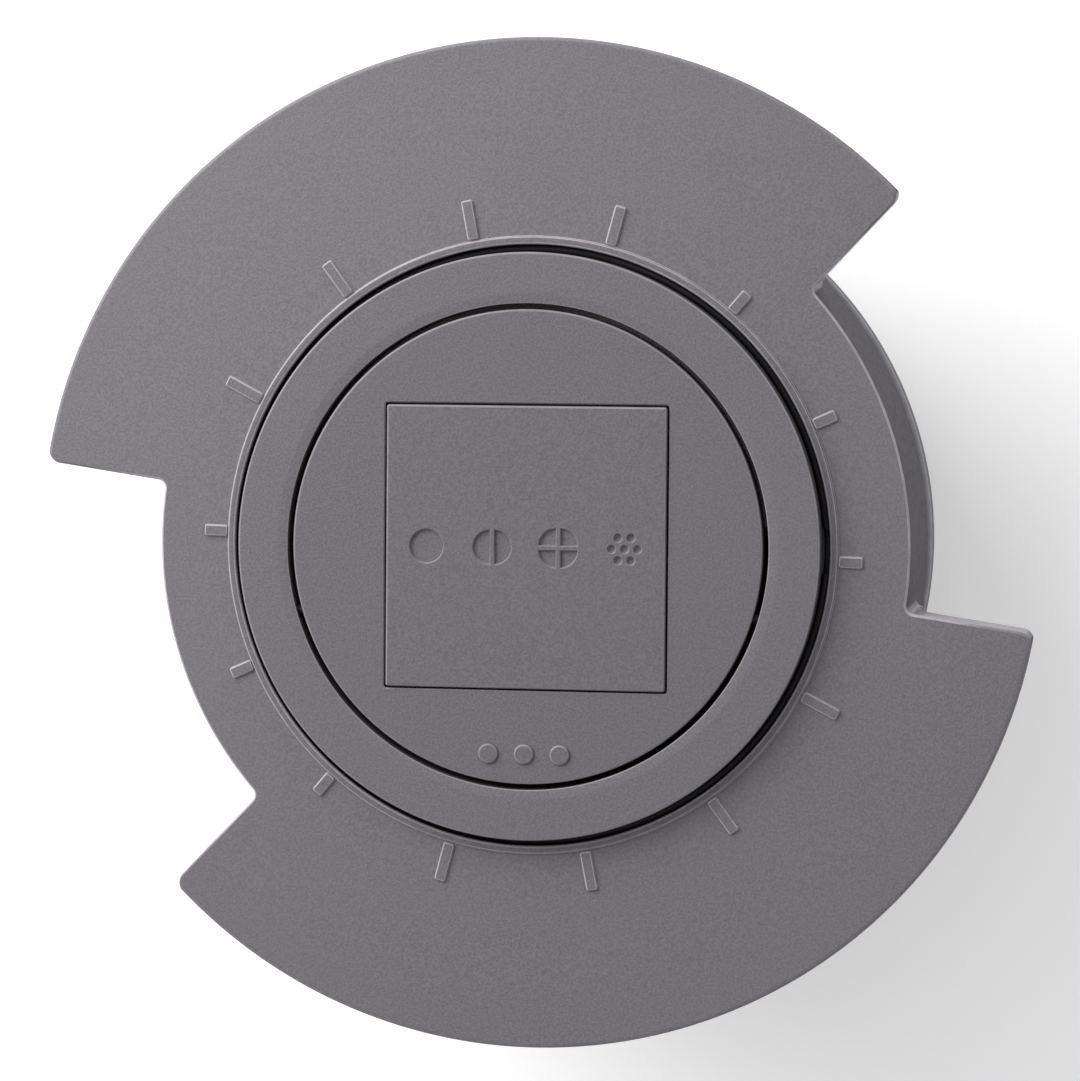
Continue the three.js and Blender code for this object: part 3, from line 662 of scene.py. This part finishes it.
def cap_trimmer():
    """The plan as a leaning prism whose upper rim closes in, to round the plate's edges."""
    under_z = dial_z(WING_R) - WING_THICK
    edge = 0.3
    spread = (SKIRT_LOW_R / NARROW_R - 1) / (dial_z(NARROW_R) - SKIRT_Z)

    def leaned(point, z):
        drop = dial_z(NARROW_R) - z
        angle = math.radians(WING_LEAN_DEG) * drop
        x = point.x * math.cos(angle) - point.y * math.sin(angle)
        y = point.x * math.sin(angle) + point.y * math.cos(angle)
        wider = 1 + spread * drop
        return (x * wider, y * wider, z)

    def upper(inset, drop):
        return lambda p, s: leaned(p + s * inset, dial_z(p.length) - drop)

    def lower(share, z):
        def row(p, s):
            wing = min(1, max(0, (p.length - NARROW_R - 2.2) / 1.5))
            return leaned(p + s * edge * share * wing, z)
        return row

    rows = [lower(1, SKIRT_Z - THROUGH), lower(1, under_z), lower(0.3, under_z + 0.3 * edge),
            lower(0, under_z + edge)]
    for degrees in (0, 20, 40, 60):
        a = math.radians(degrees)
        rows.append(upper(edge * (1 - math.cos(a)), edge * (1 - math.sin(a))))
    rows += [upper(2.2 * edge, -0.9 * edge), upper(2.4 * edge, -2)]
    return stack(cap_plan(), rows)


def cap_turning():
    """Profile of the cap: bore with the wire's groove, lip, dial plate, wings and skirt."""
    rim_z = dial_z(WING_R)
    under_z = rim_z - WING_THICK
    gusset_r, gusset_z = NARROW_R + GUSSET[0], GUSSET[1]
    slope_z = gusset_z - 0.65                    # where the slope below the gusset starts
    bend_z = slope_z - 1.2
    inside, outside = 0.02, 0.05                 # the skirt leaves the trimmer above the bend

    def skirt_r(z):
        share = (dial_z(NARROW_R) - z) / (dial_z(NARROW_R) - SKIRT_Z)
        return NARROW_R + (SKIRT_LOW_R - NARROW_R) * share

    return lathe(rounded([
        (SKIRT_IN_R, SKIRT_Z, 0.2), (SKIRT_LOW_R - inside, SKIRT_Z, 0.25),
        (skirt_r(bend_z) - inside, bend_z, 0), (skirt_r(slope_z) + outside, slope_z, 0.1),
        (gusset_r, gusset_z, 0.3), (gusset_r + 0.15, under_z, 0.7), (WING_R, under_z, 0.5),
        (WING_R, rim_z, 0.45), (DIAL_IN_R + 0.05, DIAL_IN_Z, 0.1), (DIAL_IN_R - 0.02, LIP_Z, 0.13),
        (BORE_R, LIP_Z, 0.36), (BORE_R, GROOVE_Z[1], 0), (BORE_R + GROOVE_DEEP, GROOVE_Z[1], 0.1),
        (BORE_R + GROOVE_DEEP, GROOVE_Z[0], 0.1), (BORE_R, GROOVE_Z[0], 0),
        (BORE_R, SKIRT_TOP_Z, 0.15), (SKIRT_IN_R, SKIRT_TOP_Z, 0.5),
    ]), FINE)


def tick(number):
    inner, length = SHORT_TICK if number in SHORT_TICKS else LONG_TICK
    rows = [(-0.04, -SINK), (-0.04, 0.02)] + edged(0.06, TICK_HIGH, 0, 0.15)
    body = slab(oblong(length / 2, TICK_WIDTH / 2, 0.22), rows)
    middle = inner + length / 2
    return turned(body, math.atan(DIAL_SLOPE), (middle, 0, dial_z(middle)), "Y")


def helix_lug(_):
    """A thread lug inside the skirt, tapered at both ends."""
    steps = 40
    rows = []
    for i in range(steps + 1):
        t = i / steps
        angle = math.radians(LUG_ARC_DEG) * t
        middle = LUG_Z + LEAD * angle / TURN
        rise = min(1, min(t, 1 - t) / 0.15)
        tip = SKIRT_IN_R + (LUG_IN_R - SKIRT_IN_R) * (0.15 + 0.85 * math.sin(rise * TURN / 4))
        section = [(SKIRT_IN_R + SINK, -0.6), (tip + 0.15, -0.42), (tip, -0.3),
                   (tip, 0.3), (tip + 0.15, 0.42), (SKIRT_IN_R + SINK, 0.6)]
        rows.append([(*polar(r, angle), middle + dz) for r, dz in section])
    return lofted(rows)


def make_cap():
    body = combined(cap_turning(), [cap_trimmer()], "INTERSECT")
    details = around(TICKS, tick, math.radians(TICK_START_DEG)) + around(STARTS, helix_lug)
    body = combined(body, details, "UNION")
    show("cap_moulding", body, "cap", "winged_cap", CAP_PLASTIC)


# ------------------------------------------------ hub, lid and badge


def rod_x(radius, low, high, edge=0.0):
    """A rod along X on the lid's axis."""
    body = rod(radius, low, high, edge=edge)
    return turned(body, TURN / 4, (0, LID_AXIS.y, LID_AXIS.z), "Y")


def pin_spans():
    """Where the two pins start and end along X."""
    boxes = [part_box(name) for name in ("lid_pin_left", "lid_pin_right")]
    return [(low[0] / MM, high[0] / MM) for low, high in boxes]


def pin_holes():
    return [rod_x(PIN_HOLE_R, low - GAP, high + GAP) for low, high in pin_spans()]


def make_hub():
    shoulder_z = PISTON_NECK_Z + GAP
    spigot_r = PISTON_IN_R - GAP
    groove_r = HUB_R - GROOVE_DEEP
    body = lathe(rounded([
        (WELL_R, SPIGOT_Z, 0.3), (spigot_r, SPIGOT_Z, 0.3), (spigot_r, shoulder_z, 0.1),
        (groove_r, shoulder_z, 0.1), (groove_r, GROOVE_Z[1], 0.1), (HUB_R, GROOVE_Z[1], 0.15),
        (HUB_R, HUB_Z, 0.25), (WELL_R + WELL_BEVEL[0], HUB_Z, 0.06),
        (WELL_R, HUB_Z - WELL_BEVEL[1], 0.12),
    ]), FINE)
    width, thick, start_y = LEDGE
    top = LID_Z - GAP
    ledge = lathe(rounded([
        (WELL_R - width, top - thick, 0.2), (WELL_R + SINK, top - thick, 0),
        (WELL_R + SINK, top, 0), (WELL_R - width, top, 0.2),
    ]))
    side = slab(oblong(HUB_R, HUB_R, 0.1), edged(SPIGOT_Z, HUB_Z, 0, 0))
    ledge = combined(ledge, [turned(side, 0, (0, HUB_R + start_y, 0))], "INTERSECT")
    body = combined(body, [ledge], "UNION")
    body = combined(body, pin_holes(), "DIFFERENCE")
    show("hub_moulding", body, "press", "hub_ring", HUB_PLASTIC)


def make_pins():
    for side, (low, high) in zip(("left", "right"), pin_spans()):
        name = f"lid_pin_{side}"
        show(f"{name}_rod", rod_x(PIN_R, low, high, 0.15), "press", name, STEEL_WIRE)


def dot(number):
    return slab(circle((number - 1) * DOT_PITCH, DOT_Y, DOT_R),
                [(0, HUB_Z - SINK)] + edged(HUB_Z, DOT_TOP_Z, 0, 0.2))


def make_lid():
    body = lathe(rounded([
        (0, LID_Z, 0), (LID_R - 2.2, LID_Z, 0.1), (LID_R - 1.6, LID_Z, 0.1),
        (LID_R, LID_Z, 0.3), (LID_R, HUB_Z, EDGE), (0, HUB_Z, 0),
    ]), FINE)
    pocket_half = TILE_HALF + TILE_GAP
    pocket = slab(oblong(pocket_half, pocket_half, TILE_CORNER),
                  [(0, TILE_LOW_Z - 0.05), (0, HUB_Z - 0.12), (-0.06, HUB_Z - 0.04),
                   (-0.2, HUB_Z + 0.1), (-0.2, HUB_Z + THROUGH)])
    body = combined(body, [pocket] + pin_holes(), "DIFFERENCE")
    body = combined(body, [dot(i) for i in range(3)], "UNION")
    show("lid_moulding", body, "lid", "store_lid", BADGE_PLASTIC)


def sunk(outline):
    """Cutter for a mark in the badge, with a softly broken rim."""
    top = TILE_TOP_Z
    return slab(outline, [(0.1, top - MARK_DEEP), (0.03, top - MARK_DEEP + 0.03),
                          (0, top - 0.1), (-0.04, top - 0.03), (-0.1, top + 0.03),
                          (-0.1, top + THROUGH)])


def tablet_pieces(x, pieces):
    """Outlines of a tablet divided into equal pieces that stand a little apart."""
    wide = TURN / pieces
    slide = MARK_SLIT * (math.sqrt(2) if pieces > 2 else 1)
    for i in range(pieces):
        start = wide * i - TURN / 4
        middle = Vector((x, 0)) + polar(slide, start + wide / 2)
        rim = arc(middle, MARK_R, start, start + wide, 64 // pieces)
        yield rim if pieces == 2 else [middle] + rim


def make_badge():
    body = slab(oblong(TILE_HALF, TILE_HALF, TILE_CORNER),
                edged(TILE_LOW_Z, TILE_TOP_Z, 0.1, 0.22))
    between = (MARKS_X[2] + MARKS_X[3]) / 2      # splits keep long thin faces off the tile
    split_faces(body, 0, (-between, 0, between))
    split_faces(body, 1, (-1.5 * MARK_R, 1.5 * MARK_R))
    marks = [circle(MARKS_X[0], 0, MARK_R, 64)]
    marks += list(tablet_pieces(MARKS_X[1], 2)) + list(tablet_pieces(MARKS_X[2], 4))
    spots = [Vector((0, 0))] + [polar(GRAIN_PITCH, TURN * i / 6) for i in range(6)]
    marks += [circle(MARKS_X[3] + p.x, p.y, GRAIN_R, 24) for p in spots]
    body = combined(body, [sunk(outline) for outline in marks], "DIFFERENCE")
    show("badge_moulding", body, "lid", "badge_tile", BADGE_PLASTIC, 40)


# ------------------------------------------------ piston and its fittings


def key_blocks(inner, outer, width, low, high):
    """The keys, or cutters for their ways."""
    half = width / 2

    def block(_):
        outline = rounded([(outer, half, 0), (inner, half, 0.2), (inner, -half, 0.2),
                           (outer, -half, 0)])
        return slab(outline, edged(low, high, 0, 0))
    return around(KEYS, block, TURN / 4)


def make_piston():
    groove_low = (SEAL_LOW_Z + SEAL_TOP_Z) / 2 - SEAL_GROOVE_HALF
    groove_top = (SEAL_LOW_Z + SEAL_TOP_Z) / 2 + SEAL_GROOVE_HALF
    body = lathe(rounded([
        (0, PISTON_Z, 0), (PISTON_LOW_R, PISTON_Z, 0.3), (PISTON_LOW_R, groove_low, 0.1),
        (SEAL_GROOVE_R, groove_low, 0.1), (SEAL_GROOVE_R, groove_top, 0.1),
        (PISTON_LOW_R, groove_top, 0.1),
        (PISTON_LOW_R, PISTON_STEP_Z, 0.2), (PISTON_R, PISTON_STEP_Z, 0.3),
        (PISTON_R, PISTON_TOP_Z, 0.3), (HUB_R, PISTON_TOP_Z, 0.1),
        (HUB_R, PISTON_NECK_Z, 0.2), (PISTON_IN_R, PISTON_NECK_Z, 0.2),
        (PISTON_IN_R, STORE_FLOOR_Z, 1.6), (0, STORE_FLOOR_Z, 0),
    ], 7), FINE)
    keyways = key_blocks(KEY_IN_R - KEY_SIDE_GAP, PISTON_R + THROUGH,
                         KEY_WIDTH + 2 * KEY_SIDE_GAP, PISTON_STEP_Z - THROUGH,
                         PISTON_TOP_Z + THROUGH)
    pilots = [rod(PILOT_R, PISTON_Z - THROUGH, STORE_FLOOR_Z - 0.7, p.x, p.y)
              for p in screw_places(PLATE_SCREW_AT)]
    body = combined(body, keyways + pilots, "DIFFERENCE")
    show("piston_moulding", body, "press", "piston", HUB_PLASTIC)


def ridge(inner, outer, z, up):
    """A radial crushing ridge with a rounded crest, on a face at height z."""
    steps = 6
    crest = 0.35
    section = [Vector((-RIDGE_HALF, 0))]
    section += [Vector((crest * math.sin(a), RIDGE_HIGH - crest * (1 - math.cos(a))))
                for a in (math.radians(-50 + 100 * k / steps) for k in range(steps + 1))]
    section.append(Vector((RIDGE_HALF, 0)))
    side, run_out = (1 if up else -1), 1.2
    places = ((inner, 0.05), (inner + run_out, 1), (outer - run_out, 1), (outer, 0.05))
    return lofted([[(radius, p.x, z + side * p.y * share) for p in section]
                   for radius, share in places])


def screw_seat(place, low, high):
    """Cutter for a hole with a cone for a flat head that faces down."""
    head, deep = SCREW_SEAT
    return slab(circle(place.x, place.y, SCREW_HOLE_R), [
        (SCREW_HOLE_R - head, low - THROUGH), (SCREW_HOLE_R - head, low),
        (0, low + deep), (0, high + THROUGH)])


def make_plate():
    face = PLATE_Z + RIDGE_HIGH
    root = face + RIDGE_SINK
    body = lathe(rounded([
        (0, face, 0), (PLATE_R, face, 0.35), (PLATE_R, PLATE_TOP_Z, 0.15), (0, PLATE_TOP_Z, 0),
    ]), FINE)
    teeth = around(RIDGES, lambda i: ridge(PLATE_RIDGES_FROM, PLATE_R - 1, root, False),
                   TURN / 4 + TURN / 2 / RIDGES)
    boss_top, boss_foot = PLATE_BOSS
    boss = lathe(rounded([(0, face - 1, 0), (boss_top, face - 1, 0.5), (boss_foot, root, 0),
                          (0, root, 0)]))
    body = combined(body, teeth + [boss], "UNION")
    seats = [screw_seat(p, face, PLATE_TOP_Z) for p in screw_places(PLATE_SCREW_AT)]
    body = combined(body, seats, "DIFFERENCE")
    show("crush_plate_pressing", body, "press", "crush_plate", STAINLESS)


def ring_of_wire(middle_r, z, section, sides=16):
    """Round outline of a wire or cord ring."""
    return [Vector((middle_r, z)) + polar(section, TURN * i / sides) for i in range(sides)]


def make_rings():
    middle_z = (SEAL_LOW_Z + SEAL_TOP_Z) / 2
    section = (SEAL_TOP_Z - SEAL_LOW_Z) / 2
    seal = lathe(ring_of_wire(SEAL_R - section, middle_z, section), FINE)
    show("piston_seal_ring", seal, "press", "piston_seal", SILICONE)
    middle_r = (BORE_R + HUB_R) / 2
    wire = lathe(ring_of_wire(middle_r, sum(GROOVE_Z) / 2, WIRE_R), FINE)
    split = turned(slab(oblong(3, 2), edged(SPIGOT_Z, HUB_Z, 0, 0)), 0, (middle_r, 0, 0))
    wire = combined(wire, [split], "DIFFERENCE")
    show("retaining_wire", wire, "press", "retaining_ring", STEEL_WIRE)
    washer = ring(HUB_R + GAP, WASHER_R, WASHER_Z, WASHER_TOP_Z, 0.1, 0.1)
    show("washer_disc", washer, "press", "thrust_washer", ACETAL)


def screw(low, high):
    """A flat-head screw, head down, with a cross recess and a rolled thread."""
    rim = low + SCREW_RIM
    cone_top = rim + (SCREW_HEAD_R - SHANK_R) * 0.9
    thread_low, thread_high = cone_top + 0.1, high - SCREW_TIP
    outline = rounded([(0, low, 0), (SCREW_HEAD_R, low, 0.1), (SCREW_HEAD_R, rim, 0.05),
                       (SHANK_R, cone_top, 0.15), (SHANK_R, thread_high, 0.1),
                       (SHANK_R / 2, high, 0.1), (0, high, 0)])
    outline = divided(outline, thread_low, thread_high, SCREW_PITCH / 10)

    def groove(radius, z, angle):
        if not thread_low < z < thread_high or radius < SHANK_R - 0.01:
            return 0
        phase = ((z - low) / SCREW_PITCH - angle / TURN) % 1
        return -0.22 * (1 - abs(2 * phase - 1)) ** 2

    body = lathe(outline, SMALL, groove)
    for turn in (TURN / 8, -TURN / 8):
        slot = slab(oblong(SCREW_HEAD_R * 0.58, SCREW_HEAD_R * 0.13, 0.1),
                    [(-0.1, low - THROUGH), (-0.05, low), (0.08, low + 0.65)])
        body = combined(body, [turned(slot, turn)], "DIFFERENCE")
    return body


def make_screws(node, rides, at):
    for i, place in enumerate(screw_places(at), 1):
        name = f"{node}_{i}"
        _, low, high = reach(name)
        body = turned(screw(low, high), 0.7 * i, (place.x, place.y, 0))
        show(f"{name}_body", body, rides, name, SCREW_STEEL)


# ------------------------------------------------ cup and base


def make_cup():
    body = lathe(rounded([
        (0, CUP_Z, 0), (CUP_R, CUP_Z, 1.2), (CUP_R, CUP_TOP_Z, 0.4), (CUP_IN_R, CUP_TOP_Z, 0.4),
        (CUP_IN_R, CUP_FLOOR_Z, 1.2), (0, CUP_FLOOR_Z, 0),
    ], 8), FINE)
    root = CUP_FLOOR_Z - RIDGE_SINK
    ribs = around(RIDGES, lambda i: ridge(CUP_RIDGES_FROM, CUP_IN_R - 2, root, True), TURN / 4)
    body = combined(body, ribs, "UNION")
    show("cup_pressing", body, "base", "crush_cup", STAINLESS)
    cushion = ring(CUSHION_IN_R, CUSHION_R, CUSHION_Z, CUSHION_TOP_Z, 0.15, 0.15, ROUND)
    show("cup_cushion_ring", cushion, "base", "cup_cushion", SILICONE)


def base_outline():
    """Profile of the base, with close rows where the flutes and the thread are."""
    outline = rounded([
        (HOLLOW_R, BASE_Z, 0.3), (FOOT_R, BASE_Z, 1.2), (GRIP_R, GRIP_TOP_Z, 2.5),
        (GRIP_R + 1.5, 23.4, 3), (SHOULDER_R, 25.4, 1.3), (SHOULDER_R, SHOULDER_Z, 0.7),
        (NECK_R, SHOULDER_Z, 0.3), (NECK_R, NECK_Z, 0.4), (GUIDE_BORE_R, NECK_Z, 0.3),
        (GUIDE_BORE_R, CUP_TOP_Z + GAP, 0.1), (CUP_BORE_R, CUP_TOP_Z + GAP, 0.2),
        (CUP_BORE_R, BASE_FLOOR_Z[1], 0.6), (FLOOR_HOLE_R, BASE_FLOOR_Z[1], 0.3),
        (FLOOR_HOLE_R, BASE_FLOOR_Z[0], 0.3), (HOLLOW_R, BASE_FLOOR_Z[0], 0.5),
    ], 8)
    outer = [p for p in outline if p.x > GUIDE_BORE_R + 1]
    start = outline.index(outer[0])
    stop = outline.index(outer[-1]) + 1
    outer = divided(outline[start:stop], FLUTE_Z[0] - 1, GRIP_TOP_Z + 1, 0.5)[:-1]
    outer = divided(outer, THREAD_Z - 2, NECK_Z, 0.14)
    return outline[:start] + outer + outline[stop:]


def flute(z, angle):
    """How far a grip flute lies under the surface there."""
    nearest = (angle / TURN * FLUTES) % 1 - 0.5
    across = nearest * TURN * GRIP_R / FLUTES
    half = math.sqrt(2 * FLUTE_R * FLUTE_DEEP)
    if abs(across) >= half:
        return 0
    from_end = min(z - FLUTE_Z[0], FLUTE_Z[1] - z)
    end = min(1, max(0, from_end / 2.5))
    depth = FLUTE_DEEP * (1 - (across / half) ** 2)
    return max(0, depth - FLUTE_DEEP * (1 - end) ** 2)


def thread(z, angle):
    """Height of the double thread over the neck there."""
    highest = 0
    for start in range(STARTS):
        along = ((angle - math.radians(THREAD_START_DEG)) / TURN + start / STARTS) % 1
        off = abs(z - THREAD_Z - LEAD * along)
        flank = min(1, max(0, (0.85 - off) / 0.4))
        end = min(1, min(along, 1 - along) / 0.06)
        highest = max(highest, flank * end)
    return (THREAD_R - NECK_R) * highest


def make_base():
    def shift(radius, z, angle):
        """The flutes' depth, or the thread's height, on the outside only."""
        if radius < NECK_R - 0.05:
            return 0
        if z < GRIP_TOP_Z + 0.1:
            return -flute(z, angle)
        return thread(z, angle) if z > SHOULDER_Z + 0.6 and radius < NECK_R + 0.05 else 0

    body = lathe(base_outline(), 336, shift)
    bosses, pilots = [], []
    for p in screw_places(BOTTOM_SCREW_AT):
        bosses.append(rod(BOSS_R, COVER_TOP_Z + GAP, BASE_FLOOR_Z[0] + SINK, p.x, p.y))
        pilots.append(rod(PILOT_R, COVER_TOP_Z - THROUGH, BASE_FLOOR_Z[0] - 0.2, p.x, p.y))
    keys = key_blocks(KEY_IN_R, GUIDE_BORE_R + SINK, KEY_WIDTH, CUP_TOP_Z + GAP, NECK_Z - 0.6)
    body = combined(body, bosses + keys, "UNION")
    body = combined(body, pilots, "DIFFERENCE")
    show("base_moulding", body, "base", "base_shell", BASE_PLASTIC, 38)


def make_underside():
    groove_in, groove_out = FOOT_RING_IN_R - GAP, FOOT_RING_R + GAP
    groove_top = FOOT_RING_TOP_Z + GAP
    cover = lathe(rounded([
        (0, COVER_Z, 0), (groove_in, COVER_Z, 0.2), (groove_in, groove_top, 0.1),
        (groove_out, groove_top, 0.1), (groove_out, COVER_Z, 0.2), (COVER_R, COVER_Z, 0.25),
        (COVER_R, COVER_TOP_Z, 0.2), (0, COVER_TOP_Z, 0),
    ]), FINE)
    places = screw_places(BOTTOM_SCREW_AT)
    cover = combined(cover, [screw_seat(p, COVER_Z, COVER_TOP_Z) for p in places], "DIFFERENCE")
    show("bottom_cover_disc", cover, "base", "bottom_cover", BASE_PLASTIC)
    foot = ring(FOOT_RING_IN_R, FOOT_RING_R, FLOOR_Z, FOOT_RING_TOP_Z, 0.35, 0.15)
    show("foot_ring_rubber", foot, "base", "foot_ring", FOOT_RUBBER)
    weight = ring(WEIGHT_IN_R, WEIGHT_R, WEIGHT_Z, WEIGHT_TOP_Z, 0.2, 0.2)
    holes = [rod(BOSS_R + 0.5, WEIGHT_Z - THROUGH, WEIGHT_TOP_Z + THROUGH, p.x, p.y)
             for p in places]
    weight = combined(weight, holes, "DIFFERENCE")
    show("weight_disc", weight, "base", "weight_plate", STEEL_PLATE)


# ------------------------------------------------ floor, light and camera
LOOK_AT = Vector((0.87, 0.5, 44.0))
CAMERA_FROM_DEG = 19.25          # side that the camera leans to, anticlockwise from +X
CAMERA_TILT_DEG = 10.07          # lean from straight above
CAMERA_ROLL_DEG = 0.47
CAMERA_FAR = 350
LENS = 131.25
WINDOW_AT = Vector((-210, 190, 250))
WINDOW_AIM = Vector((0, 0, 30))
WINDOW_SIZE = 260
WINDOW_WATTS = 1.4
BRIGHT_SIDE = (-0.35, 0.6, 0.75)
WORLD_LIGHT = (0.17, 0.87)       # strength of the world's darkest and brightest sides
FLOOR_HALF = 4000
FLOOR_DROP = 0.05                # keeps the floor just clear of the foot ring


def make_camera():
    side, tilt = math.radians(CAMERA_FROM_DEG), math.radians(CAMERA_TILT_DEG)
    back = Vector((math.sin(tilt) * math.cos(side), math.sin(tilt) * math.sin(side),
                   math.cos(tilt)))
    place = Vector((0, 0, LOOK_AT.z)) + back * CAMERA_FAR
    ahead = (LOOK_AT - place).normalized()
    right = ahead.cross(Vector((0, 1, 0))).normalized()
    up = right.cross(ahead)
    axes = Matrix((right, up, -ahead)).transposed().to_4x4()
    data = bpy.data.cameras.new("camera")
    data.lens = LENS
    data.clip_start = 0.01
    camera = bpy.data.objects.new("camera", data)
    roll = Matrix.Rotation(math.radians(CAMERA_ROLL_DEG), 4, "Z")
    camera.matrix_world = Matrix.Translation(place * MM) @ axes @ roll
    bpy.context.scene.collection.objects.link(camera)
    bpy.context.scene.camera = camera


def make_window():
    """One large soft light from the upper left."""
    data = bpy.data.lights.new("window", "AREA")
    data.shape = "SQUARE"
    data.size = WINDOW_SIZE * MM
    data.energy = WINDOW_WATTS
    data.color = (1.0, 0.99, 0.98)
    light = bpy.data.objects.new("window", data)
    aim = (WINDOW_AIM - WINDOW_AT).to_track_quat("-Z", "Y")
    light.matrix_world = Matrix.Translation(WINDOW_AT * MM) @ aim.to_matrix().to_4x4()
    bpy.context.scene.collection.objects.link(light)


def make_world():
    """Soft light from all round, which grows towards the window's side and overhead."""
    world = bpy.data.worlds.new("studio")
    world.use_nodes = True
    nodes, links = world.node_tree.nodes, world.node_tree.links
    direction = nodes.new("ShaderNodeTexCoord")
    facing = nodes.new("ShaderNodeVectorMath")
    facing.operation = "DOT_PRODUCT"
    facing.inputs[1].default_value = Vector(BRIGHT_SIDE).normalized()
    strength = nodes.new("ShaderNodeMapRange")
    strength.inputs["From Min"].default_value = -0.3
    strength.inputs["To Min"].default_value, strength.inputs["To Max"].default_value = WORLD_LIGHT
    links.new(direction.outputs["Generated"], facing.inputs[0])
    links.new(facing.outputs["Value"], strength.inputs["Value"])
    back = nodes["Background"]
    back.inputs["Color"].default_value = (0.99, 0.98, 1.0, 1.0)
    links.new(strength.outputs["Result"], back.inputs["Strength"])
    bpy.context.scene.world = world


def make_floor():
    n = Nodes("floor_paper")
    fibres = n.noise(900, 3.0, 0.6)
    shade = n.mix(n.spread(fibres, 0.3, 0.7), (0.9, 0.9, 0.9, 1.0), (0.93, 0.93, 0.93, 1.0))
    paper = n.finish(Base_Color=shade, Roughness=0.9, Normal=n.bump(fibres, 0.01),
                     Emission_Color=(1.0, 1.0, 1.0, 1.0), Emission_Strength=0.28)
    mesh = bpy.data.meshes.new("floor")
    half, low = FLOOR_HALF * MM, -FLOOR_DROP * MM
    corners = [(-half, -half, low), (half, -half, low), (half, half, low), (-half, half, low)]
    mesh.from_pydata(corners, [], [(0, 1, 2, 3)])
    mesh.materials.append(paper)
    floor = bpy.data.objects.new("floor", mesh)
    bpy.context.scene.collection.objects.link(floor)


make_cap()
make_hub()
make_pins()
make_lid()
make_badge()
make_piston()
make_plate()
make_rings()
make_screws("plate_screw", "press", PLATE_SCREW_AT)
make_screws("bottom_screw", "base", BOTTOM_SCREW_AT)
make_cup()
make_base()
make_underside()
make_camera()
make_window()
make_world()
make_floor()
bpy.context.scene.view_settings.view_transform = "Standard"
